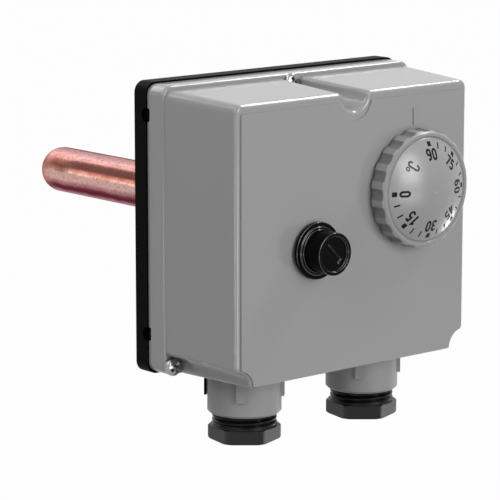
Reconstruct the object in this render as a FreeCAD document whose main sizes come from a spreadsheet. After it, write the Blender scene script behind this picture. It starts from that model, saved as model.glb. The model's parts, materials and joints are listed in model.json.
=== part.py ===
# Immersion thermostat with a control dial and a manual-reset limit switch.
# Millimetres, +X right as seen from the front, the front faces -Y, +Z up.
# The origin lies on the axis of the screwed nipple, at the face that seats on the tank boss.

import math
import os

import FreeCAD
import Part
import Sketcher

# Driving dimensions: alias, value, what it is.
# A depth is measured forward from the rear face of the base.
# A height or a place across is measured from the nipple's axis.
DIMENSIONS = [
    ("stand_off", 11.3, "seating face of the nipple to the rear face of the base"),
    ("base_width", 102.0, "base, left to right"),
    ("base_height", 89.2, "base, bottom to top"),
    ("base_corner", 3.5, "corner radius of the base"),
    ("base_side", 5.5, "depth of the base's side, up to the parting line"),
    ("base_floor", 3.0, "thickness of the base's rear wall"),
    ("lip_wall", 1.3, "thickness of the base's locating lip"),
    ("lip_reach", 3.0, "how far the lip reaches into the cover"),
    ("fit_gap", 0.3, "clearance between mouldings"),
    ("running_gap", 0.05, "radial clearance of a running or screwed fit"),
    ("cover_inset", 0.6, "the cover's rim stands in from the base by this"),
    ("cover_wall", 2.2, "wall of the cover"),
    ("rim_front", 12.8, "depth of the rim's front face"),
    ("rim_corner", 3.3, "corner radius of the rim"),
    ("rim_edge", 0.8, "rounding of the rim's front edge"),
    ("step_side", 0.6, "step from the rim in to the side wall"),
    ("step_top", 1.3, "step from the rim down to the top wall"),
    ("lean_side", 2.7, "how far a side wall leans in towards the front"),
    ("lean_top", 1.7, "how far the top wall leans in towards the front"),
    ("box_front", 42.1, "depth of the cover's front face"),
    ("box_corner_rear", 3.2, "corner radius of the box at the rim"),
    ("box_corner_front", 2.5, "corner radius of the box at the front"),
    ("front_edge", 1.3, "rounding of the front edges"),
    ("groove_edge", 1.5, "rounding where a screw groove leaves a wall"),
    ("room_edge", 0.5, "the same rounding inside the cover"),
    ("panel_proud", 0.5, "height of the raised front panel"),
    ("panel_margin_side", 1.9, "side wall to the raised panel"),
    ("panel_margin_top", 2.7, "top wall to the raised panel"),
    ("panel_margin_bottom", 0.6, "bottom wall to the raised panel"),
    ("panel_corner", 0.8, "corner radius of the raised panel"),
    ("panel_edge", 0.4, "rounding where the panel's edge turns into a dip or bite"),
    ("panel_dip", 6.4, "radius of the panel's dip round the top groove"),
    ("panel_dip_rise", 0.6, "centre of the dip above the panel's upper edge"),
    ("panel_bite", 6.0, "radius of the bites out of the panel's lower corners"),
    ("screw_inset", 3.4, "screw axis to the edge of the base"),
    ("head_radius", 2.8, "head of a cover screw"),
    ("head_height", 2.0, "height of that head"),
    ("shank_radius", 1.5, "shank of a cover screw"),
    ("shank_length", 11.0, "length under that head"),
    ("groove_rear", 3.5, "radius of a screw groove at the rim"),
    ("groove_front", 5.1, "radius of a screw groove at the front"),
    ("groove_drop_top", 0.8, "drop of the top groove's centre at the front"),
    ("groove_drop_low", 2.5, "drop of a lower groove's centre at the front"),
    ("groove_shift_low", 1.1, "shift of a lower groove's centre towards the middle"),
    ("vent_radius", 2.2, "half-round lever notch at the parting line"),
    ("vent_deep", 1.2, "how far that notch goes in from the side"),
    ("vent_cover", 1.0, "depth of the matching notch in the rim"),
    ("knob_radius", 18.3, "dial at its rear edge"),
    ("knob_skirt", 4.5, "height of the fluted skirt"),
    ("knob_ring", 17.7, "outer radius of the dial's front ring"),
    ("knob_ring_wide", 1.2, "width of that ring"),
    ("knob_face", 5.2, "height of the ring above the dial's rear edge"),
    ("knob_groove", 0.4, "depth and width of the fine groove inside the ring"),
    ("knob_dome", 4.2, "rise of the dial's domed face"),
    ("knob_wall", 1.8, "wall of the dial"),
    ("knob_gap", 0.6, "dial to the raised panel"),
    ("knob_hub", 5.2, "radius of the dial's hub"),
    ("knob_hub_reach", 2.2, "how far the hub reaches behind the dial's rear edge"),
    ("flute_radius", 3.4, "radius of a flute in the skirt"),
    ("flute_deep", 0.55, "depth of a flute"),
    ("flutes", 20, "number of flutes"),
    ("index_long", 5.0, "length of the index bar"),
    ("index_wide", 1.0, "width of the index bar"),
    ("index_proud", 0.4, "height of the index bar"),
    ("index_away", 19.5, "dial axis to the index bar's lower end"),
    ("spindle_radius", 3.0, "radius of the switch spindle"),
    ("spindle_flat", 2.1, "spindle axis to its flat"),
    ("spindle_rear", 30.5, "depth of the spindle's inner end"),
    ("spindle_front", 46.8, "depth of the spindle's outer end"),
    ("neck_radius", 5.0, "threaded neck under the reset cap"),
    ("neck_front", 47.1, "depth of the neck's outer end"),
    ("button_radius", 2.5, "reset button"),
    ("button_rear", 30.5, "depth of the button's inner end"),
    ("button_front", 49.0, "depth of the button's outer end"),
    ("button_travel", 1.5, "stroke of the button"),
    ("cap_flange", 8.7, "radius of the reset cap's flange"),
    ("cap_flange_thick", 1.3, "thickness of that flange"),
    ("cap_foot", 7.3, "radius of the foot ring"),
    ("cap_foot_tall", 0.4, "height of the foot ring"),
    ("cap_radius", 6.45, "radius of the cap's cylinder"),
    ("cap_long", 8.6, "flange's rear face to the cap's end"),
    ("cap_top", 2.2, "thickness of the cap's end wall"),
    ("cap_recess", 0.8, "depth of the recess in the end"),
    ("cap_recess_radius", 5.4, "radius of that recess"),
    ("cap_slot", 1.0, "width of the coin slot"),
    ("cap_slot_deep", 0.7, "depth of the coin slot"),
    ("cap_flat", 8.1, "cap axis to the flat on the flange"),
    ("cap_seal_inner", 5.7, "inner radius of the sealing ring"),
    ("cap_seal_outer", 8.3, "outer radius of the sealing ring"),
    ("cap_seal_thick", 0.6, "thickness of the sealing ring"),
    ("socket_depth", 19.6, "depth of a cable socket's axis"),
    ("socket_radius", 11.4, "cable socket, outside"),
    ("socket_bore", 10.0, "threaded bore of a socket"),
    ("socket_drop", 13.4, "how far a socket hangs below the cover"),
    ("socket_edge", 0.7, "rounding of a socket's lower edge"),
    ("socket_neck", 10.6, "neck of a socket, in the shelf"),
    ("socket_neck_tall", 5.0, "height of that neck"),
    ("socket_throat", 7.0, "radius of the throat above the seal"),
    ("socket_shoulder", 13.4, "depth of the threaded bore"),
    ("rib_wide", 3.0, "width of a rib on a socket"),
    ("rib_proud", 0.9, "how far a rib stands out"),
    ("rib_drop", 8.3, "how far a rib hangs below the cover"),
    ("rib_turn", 45.0, "angle of a rib round its socket"),
    ("shelf_thick", 3.0, "shelf of the base that holds the sockets"),
    ("shelf_edge", 2.8, "socket's neck to the shelf's front edge"),
    ("shelf_end", 4.42, "socket's neck to the shelf's end"),
    ("shelf_inset", 11.5, "shelf's end to the side of the base, clear of the cover's grooves"),
    ("seal_thick", 5.6, "gland seal"),
    ("seal_bore", 5.2, "bore of a gland seal"),
    ("gland_washer", 1.0, "thickness of the gland's slip washer"),
    ("gland_bore", 6.4, "cable bore of the gland nut"),
    ("washer_bore", 6.7, "bore of the slip washer"),
    ("gland_shank", 10.8, "threaded length of the gland nut"),
    ("gland_flats", 19.6, "gland nut across its flats"),
    ("gland_head", 4.4, "thickness of the gland nut's hexagon"),
    ("gland_turn", 19.5, "angle at which the hexagon stands"),
    ("thread_radius", 10.4775, "nipple thread, outside"),
    ("thread_long", 14.0, "length of the nipple thread"),
    ("thread_chamfer", 0.6, "chamfer at the thread's end"),
    ("collar_radius", 13.5, "seating collar of the nipple"),
    ("collar_thick", 1.5, "thickness of the collar"),
    ("hexagon_flats", 26.0, "nipple's hexagon across its flats"),
    ("spigot_radius", 9.0, "nipple's spigot through the base"),
    ("spigot_front", 8.5, "depth of the spigot's inner end"),
    ("nipple_bore", 5.9, "bore of the spigot"),
    ("locknut_flats", 24.0, "lock nut across its flats"),
    ("locknut_thick", 4.0, "thickness of the lock nut"),
    ("pocket_radius", 7.6, "copper pocket, outside"),
    ("pocket_wall", 1.0, "wall of the pocket"),
    ("pocket_long", 100.0, "seating face to the pocket's tip"),
    ("pocket_seat", 6.0, "how far the pocket goes into the nipple"),
    ("dent_radius", 2.3, "radius of the pressed groove"),
    ("dent_deep", 1.2, "depth of the pressed groove"),
    ("dent_end", 17.0, "pocket's tip to the groove's end"),
    ("dent_turn", 28.0, "angle of the groove above the left side"),
    ("bulb_radius", 2.8, "sensing bulb"),
    ("bulb_long", 72.0, "length of a bulb"),
    ("bulb_start", 12.0, "seating face to a bulb's near end"),
    ("bulb_side", 2.9, "bulb axis to the side"),
    ("bulb_drop", 2.25, "bulb axis down"),
    ("spring_long", 44.0, "leaf spring over the bulbs"),
    ("spring_wide", 5.0, "width of the leaf spring"),
    ("spring_thick", 0.4, "thickness of the leaf spring"),
    ("spring_low", 1.0, "height of the spring's ends"),
    ("spring_high", 5.9, "height of the spring's crown"),
    ("spring_start", 28.0, "seating face to the spring's near end"),
    ("tube_radius", 0.75, "capillary tube"),
    ("tube_bend", 2.4, "bend of a capillary tube"),
    ("tube_cross", 12.0, "depth at which the capillaries run across"),
    ("capsule_radius", 10.0, "diaphragm capsule"),
    ("capsule_thick", 3.5, "thickness of a capsule"),
    ("capsule_edge", 0.8, "crimped edge of a capsule"),
    ("switch_rear", 18.5, "depth of a switch body's rear"),
    ("switch_apart", 6.8, "gap between the two switch bodies"),
    ("switch_step", 5.0, "terminal step of a switch body"),
    ("switch_corner", 1.5, "corner radius of a switch body"),
    ("plate_front", 34.5, "depth of the bracket's front"),
    ("plate_thick", 1.5, "sheet of the bracket"),
    ("plate_bend", 0.9, "rounding inside the bracket's bends"),
    ("plate_gap", 0.4, "switch body to the bracket's leg"),
    ("plate_end", 0.4, "how far a switch body reaches past the bracket's end"),
    ("foot_clear", 2.7, "bracket's foot to the top cover screw's axis"),
    ("bush_radius", 4.9, "spindle bush"),
    ("bush_front", 38.6, "depth of the bush's outer end"),
    ("bush_chamfer", 0.4, "chamfer at a bush's outer end"),
    ("small_head", 2.6, "head radius of a bracket screw"),
    ("small_head_tall", 1.8, "height of that head"),
    ("small_shank", 1.25, "shank radius of a bracket screw"),
    ("earth_z", 8.0, "earth clamp down"),
    ("earth_side", 6.0, "side of the earth clamp"),
    ("earth_tall", 5.0, "height of the earth clamp"),
]

# Sizes that follow the driving ones: alias, formula, what it is.
# The controls keep their places in the width and height of the case, and the sockets theirs on the shelf.
FOLLOWING = [
    ("knob_x", "base_width * 0.237", "dial axis to the right"),
    ("knob_z", "base_height * 0.108", "dial axis up"),
    ("reset_x", "base_width * 0.163", "reset axis to the left"),
    ("reset_z", "base_height * 0.056", "reset axis down"),
    ("shelf_front", "socket_depth + socket_neck + shelf_edge", "depth of the shelf's front edge"),
    ("shelf_half", "base_width / 2 - shelf_inset", "half the shelf's length"),
    ("socket_x", "shelf_half - shelf_end - socket_neck", "cable socket axis to the side"),
    ("vent_upper", "base_height / 2 - 9.8", "height of the upper notch"),
    ("vent_lower", "base_height / 2 - 12.6", "drop of the lower notch"),
    ("switch_wide", "knob_x + reset_x - switch_apart", "switch body, left to right"),
    ("switch_tall", "base_height * 0.6 - 15.5", "switch body, bottom to top"),
    ("plate_wide", "knob_x + reset_x + switch_wide - 2 * plate_end", "bracket, left to right"),
    ("plate_shift", "(knob_x - reset_x) / 2", "bracket's middle to the right"),
    ("plate_up", "knob_z + switch_tall / 2 + plate_gap", "bracket's upper leg, its inner face"),
    ("plate_down", "reset_z + switch_tall / 2 + plate_gap", "bracket's lower leg, its inner face"),
    ("plate_foot", "base_height / 2 - screw_inset - foot_clear - plate_up - plate_thick",
     "length of a bracket foot"),
    ("plate_screw_x", "plate_wide * 0.35", "bracket screw to the side"),
    ("earth_x", "base_width / 2 - 8.8", "earth clamp to the right"),
]

doc = FreeCAD.newDocument("immersion_thermostat")
sizes = doc.addObject("Spreadsheet::Sheet", "sizes")
for row, (alias, value, note) in enumerate(DIMENSIONS + FOLLOWING, 1):
    sizes.set("A%d" % row, note)
    sizes.set("B%d" % row, "=%s" % value)
    sizes.setAlias("B%d" % row, alias)
doc.recompute()
ALIASES = {alias for alias, _, _ in DIMENSIONS + FOLLOWING}


# Expressions that several pieces share.
REAR = "-stand_off"
RIM_X = "(base_width / 2 - cover_inset)"
RIM_Z = "(base_height / 2 - cover_inset)"
BOX_X = "(base_width / 2 - cover_inset - step_side)"
BOX_TOP = "(base_height / 2 - cover_inset - step_top)"
SCREW_X = "(base_width / 2 - screw_inset)"
SCREW_Z = "(base_height / 2 - screw_inset)"
SHELF_LOW = "(base_height / 2 - cover_inset - cover_wall - fit_gap)"
SOCKET_LOW = "(base_height / 2 - cover_inset + socket_drop)"
SHOULDER = "(base_height / 2 - cover_inset + socket_drop - socket_shoulder)"
PANEL = "(box_front + panel_proud)"
KNOB_REAR = "(box_front + panel_proud + knob_gap)"
CAP_REAR = "(box_front + panel_proud + cap_seal_thick + 2 * running_gap)"
WASHER_TOP = "(base_height / 2 - cover_inset + socket_drop - socket_shoulder + seal_thick + running_gap)"
GLAND_TOP = "(base_height / 2 - cover_inset + socket_drop - socket_shoulder + seal_thick" \
            " + 2 * running_gap + gland_washer)"
CAPSULE_REAR = "(switch_rear - capsule_thick)"
PLATE_REAR = "(plate_front - plate_thick)"


def sheet(expression):
    """Put the sheet's name before each alias of an expression."""
    words = []
    word = ""
    for letter in expression + " ":
        if letter.isalnum() or letter == "_":
            word += letter
            continue
        words.append("sizes." + word if word in ALIASES else word)
        words.append(letter)
        word = ""
    return "".join(words).strip()


def number(expression):
    """The value of an expression of the sheet's aliases."""
    value = sizes.evalExpression(expression)
    return float(getattr(value, "Value", value))


def bind(item, field, expression):
    item.setExpression(field, sheet(expression))


def new_body(label, x="0", y=REAR, z="0", turn=None):
    """A body at a place, turned about Z by an angle where one is given."""
    body = doc.addObject("PartDesign::Body", label)
    body.Label = label
    bind(body, "Placement.Base.x", x)
    bind(body, "Placement.Base.y", y)
    bind(body, "Placement.Base.z", z)
    if turn is not None:
        bind(body, "Placement.Rotation.Angle", turn)
    return body


def origin_plane(body, role):
    return next(item for item in body.Origin.OriginFeatures if item.Role == role)


def new_sketch(body, name, plane, away="0"):
    """A sketch on an origin plane of its own body, moved along the plane's normal."""
    sketch = body.newObject("Sketcher::SketchObject", body.Name + "_" + name)
    sketch.AttachmentSupport = [(origin_plane(body, plane), "")]
    sketch.MapMode = "FlatFace"
    bind(sketch, "AttachmentOffset.Base.z", away)
    return sketch


def fix_length(sketch, constraint, expression):
    index = sketch.addConstraint(constraint)
    bind(sketch, "Constraints[%d]" % index, expression)


def pin(sketch, geometry, point, x, y):
    """Hold a point of a sketch at a place given by two expressions."""
    for kind, expression, axis in (("DistanceX", x, -2), ("DistanceY", y, -1)):
        value = number(expression)
        if abs(value) < 1e-9:
            sketch.addConstraint(Sketcher.Constraint("PointOnObject", geometry, point, axis))
        elif value > 0:
            rule = Sketcher.Constraint(kind, -1, 1, geometry, point, value)
            fix_length(sketch, rule, expression)
        else:
            rule = Sketcher.Constraint(kind, geometry, point, -1, 1, -value)
            fix_length(sketch, rule, "-(" + expression + ")")


def arc(sketch, centre, radius, start, end):
    """An arc from one point anticlockwise to another."""
    angles = [math.atan2(point.y - centre.y, point.x - centre.x) for point in (start, end)]
    if angles[1] < angles[0]:
        angles[1] += 2 * math.pi
    ring = Part.Circle(centre, FreeCAD.Vector(0, 0, 1), radius)
    sketch.addGeometry(Part.ArcOfCircle(ring, angles[0], angles[1]), False)


def outline(sketch, points, closed=True):
    """An outline. A third item in a point is the radius of the arc to the next point,
    which bulges to the left of the way there, or to the right where the item starts with a minus."""
    first = sketch.GeometryCount
    spots = [FreeCAD.Vector(number(point[0]), number(point[1]), 0) for point in points]
    runs = points if closed else points[:-1]
    ends = []
    for index, point in enumerate(runs):
        start = spots[index]
        end = spots[(index + 1) % len(points)]
        if len(point) == 2:
            sketch.addGeometry(Part.LineSegment(start, end), False)
            ends.append((1, 2))
            continue
        to_right = point[2].startswith("-")
        radius = abs(number(point[2]))
        chord = end - start
        left = FreeCAD.Vector(-chord.y, chord.x, 0).normalize()
        reach = (max(radius ** 2 - (chord.Length / 2) ** 2, 0)) ** 0.5
        centre = (start + end) * 0.5 + left * (reach if to_right else -reach)
        if to_right:
            arc(sketch, centre, radius, start, end)
        else:
            arc(sketch, centre, radius, end, start)
        ends.append((1, 2) if to_right else (2, 1))
        rule = Sketcher.Constraint("Radius", first + index, radius)
        fix_length(sketch, rule, "abs(" + point[2] + ")")
    for index in range(len(runs) if closed else len(runs) - 1):
        after = (index + 1) % len(runs)
        rule = Sketcher.Constraint("Coincident", first + index, ends[index][1], first + after, ends[after][0])
        sketch.addConstraint(rule)
    for index, point in enumerate(runs):
        pin(sketch, first + index, ends[index][0], point[0], point[1])
    if not closed:
        pin(sketch, first + len(runs) - 1, ends[-1][1], points[-1][0], points[-1][1])


def rounded_box(sketch, left, right, low, high, radius):
    """A rectangle with round corners, from its four sides and the radius."""
    x0, x1, y0, y1, r = (number(item) for item in (left, right, low, high, radius))
    first = sketch.GeometryCount
    sides = [((x0 + r, y0), (x1 - r, y0)), ((x1, y0 + r), (x1, y1 - r)),
             ((x1 - r, y1), (x0 + r, y1)), ((x0, y1 - r), (x0, y0 + r))]
    sides = [(FreeCAD.Vector(*start, 0), FreeCAD.Vector(*end, 0)) for start, end in sides]
    centres = [(x1 - r, y0 + r), (x1 - r, y1 - r), (x0 + r, y1 - r), (x0 + r, y0 + r)]
    for start, end in sides:
        sketch.addGeometry(Part.LineSegment(start, end), False)
    for index, centre in enumerate(centres):
        arc(sketch, FreeCAD.Vector(*centre, 0), r, sides[index][1], sides[(index + 1) % 4][0])
    for side in range(4):
        bend = first + 4 + side
        after = first + (side + 1) % 4
        sketch.addConstraint(Sketcher.Constraint("Tangent", first + side, 2, bend, 1))
        sketch.addConstraint(Sketcher.Constraint("Tangent", bend, 2, after, 1))
        kind = "Horizontal" if side % 2 == 0 else "Vertical"
        sketch.addConstraint(Sketcher.Constraint(kind, first + side))
        if side:
            sketch.addConstraint(Sketcher.Constraint("Equal", first + 4, bend))
    fix_length(sketch, Sketcher.Constraint("Radius", first + 4, r), radius)
    edges = (("DistanceX", first + 3, left, x0), ("DistanceX", first + 1, right, x1),
             ("DistanceY", first, low, y0), ("DistanceY", first + 2, high, y1))
    for kind, line, expression, value in edges:
        if value > 0:
            fix_length(sketch, Sketcher.Constraint(kind, -1, 1, line, 1, value), expression)
        else:
            fix_length(sketch, Sketcher.Constraint(kind, line, 1, -1, 1, -value), "-(" + expression + ")")


def circle(sketch, x, y, radius):
    centre = FreeCAD.Vector(number(x), number(y), 0)
    shape = Part.Circle(centre, FreeCAD.Vector(0, 0, 1), number(radius))
    index = sketch.addGeometry(shape, False)
    fix_length(sketch, Sketcher.Constraint("Radius", index, number(radius)), radius)
    pin(sketch, index, 3, x, y)


def slanted_box(sketch, x, y, near, far, width, angle):
    """A rectangle that lies along a ray from x, y, between two distances."""
    corners = []
    for reach, side in ((near, "-"), (far, "-"), (far, ""), (near, "")):
        across = side + "(" + width + ") / 2"
        corners.append(("%s + (%s) * cos(%s) - (%s) * sin(%s)" % (x, reach, angle, across, angle),
                        "%s + (%s) * sin(%s) + (%s) * cos(%s)" % (y, reach, angle, across, angle)))
    outline(sketch, corners)


def hexagon(sketch, flats):
    corner = "(" + flats + ") / (2 * cos(30))"
    outline(sketch, [("%s * cos(%d)" % (corner, turn), "%s * sin(%d)" % (corner, turn))
                     for turn in range(0, 360, 60)])


def pad(body, sketch, length, middle=False, reverse=False):
    feature = body.newObject("PartDesign::Pad", sketch.Name + "_pad")
    feature.Profile = sketch
    bind(feature, "Length", length)
    feature.Midplane = middle
    feature.Reversed = reverse
    sketch.Visibility = False
    return feature


def pocket(body, sketch, length, reverse=False, middle=False):
    """A pocket, checked for cutting something and leaving something."""
    doc.recompute()
    before = body.Shape.Volume
    feature = body.newObject("PartDesign::Pocket", sketch.Name + "_pocket")
    feature.Profile = sketch
    feature.Reversed = reverse
    feature.Midplane = middle
    bind(feature, "Length", length)
    doc.recompute()
    if not 0 < body.Shape.Volume < before - 1e-4:
        raise RuntimeError(feature.Name + " cuts nothing")
    return feature


def turned(body, sketch, cut=False):
    """A revolution about the sketch's vertical axis, or a groove where it cuts."""
    kind = "PartDesign::Groove" if cut else "PartDesign::Revolution"
    feature = body.newObject(kind, sketch.Name + "_turn")
    feature.Profile = sketch
    feature.ReferenceAxis = (sketch, ["V_Axis"])
    feature.Angle = 360
    return feature


def lofted(body, sections):
    """A straight-sided loft from the first section to the last."""
    feature = body.newObject("PartDesign::AdditiveLoft", sections[0].Name + "_loft")
    feature.Profile = sections[0]
    feature.Sections = sections[1:]
    feature.Ruled = True
    return feature


def rounded(body, radius, wanted):
    """Round the edges of the body for which wanted(edge) holds."""
    doc.recompute()
    base = body.Tip
    names = ["Edge%d" % (index + 1) for index, edge in enumerate(base.Shape.Edges) if wanted(edge)]
    feature = body.newObject("PartDesign::Fillet", body.Name + "_round")
    feature.Base = (base, names)
    bind(feature, "Radius", radius)
    doc.recompute()
    return feature


def turned_body(label, points, x="0", y=REAR, z="0", plane="XY_Plane", turn=None):
    """A body turned about its own Y axis, or its own Z axis on the XZ plane."""
    body = new_body(label, x, y, z, turn)
    sketch = new_sketch(body, "profile", plane)
    outline(sketch, points)
    turned(body, sketch)
    return body


def cut_by(label, base, tool):
    """The first shape less the second one."""
    result = doc.addObject("Part::Cut", label)
    result.Label = label
    result.Base = base
    result.Tool = tool
    return result


def at_depth(depth, gap=1e-4):
    """A test for edges that lie wholly at one depth of their body."""
    place = -depth

    def test(edge):
        box = edge.BoundBox
        return abs(box.YMin - place) < gap and abs(box.YMax - place) < gap
    return test


# Places of the three cover screws.
COVER_SCREWS = [("top", "0", SCREW_Z),
                ("left", "-" + SCREW_X, "-" + SCREW_Z),
                ("right", SCREW_X, "-" + SCREW_Z)]
SIDES = [("left", "-"), ("right", "")]


def screw_circles(body, name, depth, radius):
    sketch = new_sketch(body, name, "XZ_Plane", depth)
    for _, x, z in COVER_SCREWS:
        circle(sketch, x, z, radius)
    return sketch


def grooved_section(body, name, depth, walls, top_groove, low_groove, corner, edge):
    """A section of the cover at a depth: side, bottom and top walls, a groove down from the middle
    of the top, and a groove in place of each lower corner. Each groove leaves its walls in a rounding."""
    side, low, top = walls
    top_z, top_r = top_groove
    low_x, low_z, low_r = low_groove
    reach = "((%s) + (%s))" % (top_r, edge)
    low_reach = "((%s) + (%s))" % (low_r, edge)
    top_rise = "((%s) - (%s) - (%s))" % (top, edge, top_z)
    top_x = "sqrt(%s ^ 2 - %s ^ 2)" % (reach, top_rise)
    side_run = "((%s) - (%s) - (%s))" % (side, edge, low_x)
    side_rise = "sqrt(%s ^ 2 - %s ^ 2)" % (low_reach, side_run)
    low_rise = "((%s) - (%s) - (%s))" % (low, edge, low_z)
    low_run = "sqrt(%s ^ 2 - %s ^ 2)" % (low_reach, low_rise)
    low_share = "(%s) / %s" % (low_r, low_reach)
    top_share = "(%s) / %s" % (top_r, reach)
    convex = "-(" + edge + ")"
    right = [
        ("(%s) - %s" % (low_x, low_run), "-(%s)" % low, convex),
        ("(%s) - %s * %s" % (low_x, low_run, low_share),
         "-((%s) + %s * %s)" % (low_z, low_rise, low_share), low_r),
        ("(%s) + %s * %s" % (low_x, side_run, low_share),
         "-((%s) - %s * %s)" % (low_z, side_rise, low_share), convex),
        (side, "-((%s) - %s)" % (low_z, side_rise)),
        (side, "(%s) - (%s)" % (top, corner), "-(" + corner + ")"),
        ("(%s) - (%s)" % (side, corner), top),
        (top_x, top, convex),
        ("%s * %s" % (top_x, top_share), "(%s) + %s * %s" % (top_z, top_rise, top_share), top_r),
    ]
    bottom = ("0", "(%s) - (%s)" % (top_z, top_r), top_r)
    left = [("-(%s)" % point[0], point[1]) for point in reversed(right)]
    bends = [point[2] if len(point) > 2 else None for point in right]
    bends = list(reversed(bends[:-1])) + [None]
    left = [point + (bend,) if bend else point for point, bend in zip(left, bends)]
    section = new_sketch(body, name, "XZ_Plane", depth)
    outline(section, right + [bottom] + left)
    return section


def box_section(body, name, depth, share, inward, edge):
    """A section of the cover's box, at a share of the way from the rim to the front face, and set in
    from the outside by a wall."""
    walls = ("%s - lean_side * (%s) - %s" % (BOX_X, share, inward), "%s - %s" % (RIM_Z, inward),
             "%s - lean_top * (%s) - %s" % (BOX_TOP, share, inward))
    radius = "groove_rear + (groove_front - groove_rear) * (%s) + %s" % (share, inward)
    top_groove = ("%s - groove_drop_top * (%s)" % (SCREW_Z, share), radius)
    low_groove = ("%s - groove_shift_low * (%s)" % (SCREW_X, share),
                  "%s + groove_drop_low * (%s)" % (SCREW_Z, share), radius)
    corner = "box_corner_rear + (box_corner_front - box_corner_rear) * (%s)" % share
    return grooved_section(body, name, depth, walls, top_groove, low_groove, corner, edge)


def side_notches(body, name, away, half, deep, radius=None):
    """Notches at the parting line, two on each side: round ones where a radius is given."""
    for side, sign in SIDES:
        outer = sign + "(" + half + ")"
        sketch = new_sketch(body, name + "_" + side, "YZ_Plane", outer)
        for height in ("vent_upper", "-vent_lower"):
            if radius:
                circle(sketch, "-(" + away + ")", height, radius)
            else:
                outline(sketch, [("-(%s)" % away, height + " - vent_radius"),
                                 ("-(%s)" % away, height + " + vent_radius"),
                                 ("-(%s + vent_cover)" % away, height + " + vent_radius - vent_cover / 3"),
                                 ("-(%s + vent_cover)" % away, height + " - vent_radius + vent_cover / 3")])
        pocket(body, sketch, deep, reverse=(side == "left"))


def make_base():
    """Black moulded base: a shallow tray with a locating lip and the shelf for the cable sockets."""
    body = new_body("back_base")
    plate = new_sketch(body, "plate", "XZ_Plane")
    rounded_box(plate, "-base_width / 2", "base_width / 2", "-base_height / 2", "base_height / 2",
                "base_corner")
    pad(body, plate, "base_side")

    lip_x = BOX_X + " - cover_wall - fit_gap"
    lip_top = BOX_TOP + " - cover_wall - fit_gap"
    lip = new_sketch(body, "lip", "XZ_Plane", "base_side")
    rounded_box(lip, "-(" + lip_x + ")", lip_x, "-" + SHELF_LOW, lip_top, "box_corner_rear")
    pad(body, lip, "lip_reach")
    room = new_sketch(body, "room", "XZ_Plane", "base_side + lip_reach")
    rounded_box(room, "-(" + lip_x + " - lip_wall)", lip_x + " - lip_wall", "-(" + SHELF_LOW + " - lip_wall)",
                lip_top + " - lip_wall", "box_corner_rear - lip_wall")
    pocket(body, room, "base_side + lip_reach - base_floor")

    clear = screw_circles(body, "boss_room", "base_side + lip_reach", "groove_rear + cover_wall + fit_gap")
    pocket(body, clear, "lip_reach")
    pilots = screw_circles(body, "pilot", "base_side", "shank_radius + running_gap")
    pocket(body, pilots, "shank_length - (rim_front - base_side) + fit_gap")

    shelf = new_sketch(body, "shelf", "XZ_Plane", "base_floor")
    outline(shelf, [("-shelf_half", "-" + SHELF_LOW), ("shelf_half", "-" + SHELF_LOW),
                    ("shelf_half", "-(" + SHELF_LOW + " - shelf_thick)"),
                    ("-shelf_half", "-(" + SHELF_LOW + " - shelf_thick)")])
    pad(body, shelf, "shelf_front - base_floor")
    tongue_half = "(socket_radius + rib_proud + running_gap)"
    tongues = new_sketch(body, "tongues", "XZ_Plane", "base_floor")
    for _, sign in SIDES:
        middle = sign + "socket_x"
        outline(tongues, [(middle + " - " + tongue_half, "-" + RIM_Z),
                          (middle + " + " + tongue_half, "-" + RIM_Z),
                          (middle + " + " + tongue_half, "-" + SHELF_LOW),
                          (middle + " - " + tongue_half, "-" + SHELF_LOW)])
    pad(body, tongues, "socket_depth - base_floor")

    seat = new_sketch(body, "seat", "XY_Plane", "-" + SHELF_LOW)
    throat = new_sketch(body, "throat", "XY_Plane", "-(" + SHELF_LOW + " - shelf_thick)")
    ribs = new_sketch(body, "ribs", "XY_Plane", "-" + SHELF_LOW)
    for _, sign in SIDES:
        circle(seat, sign + "socket_x", "-socket_depth", "socket_radius + running_gap")
        circle(throat, sign + "socket_x", "-socket_depth", "socket_neck + running_gap")
        for turn in ("rib_turn", "(180 - rib_turn)"):
            slanted_box(ribs, sign + "socket_x", "-socket_depth", "socket_radius + running_gap * 2",
                        "socket_radius + rib_proud", "rib_wide", turn)
    pocket(body, seat, "cover_wall + fit_gap + running_gap")
    pocket(body, throat, "shelf_thick")
    pad(body, ribs, RIM_Z + " - " + SHELF_LOW + " + rib_drop", reverse=True)

    nipple_hole = new_sketch(body, "nipple_hole", "XZ_Plane", "base_floor")
    circle(nipple_hole, "0", "0", "spigot_radius + running_gap")
    pocket(body, nipple_hole, "base_floor")
    fixings = new_sketch(body, "fixings", "XZ_Plane", "base_floor")
    for x, z in BRACKET_SCREWS:
        circle(fixings, x, z, "small_shank + running_gap")
    circle(fixings, "earth_x", "-earth_z", "small_shank + running_gap")
    pocket(body, fixings, "base_floor - plate_thick / 2")
    side_notches(body, "lever", "base_side", "base_width / 2", "vent_deep", "vent_radius")
    return body


BRACKET_SCREWS = [(sign + "plate_screw_x + plate_shift", height)
                  for sign in ("-", "")
                  for height in ("plate_up + plate_thick + (plate_foot + plate_bend) / 2",
                                 "-(plate_down + plate_thick + (plate_foot + plate_bend) / 2)")]


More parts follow.
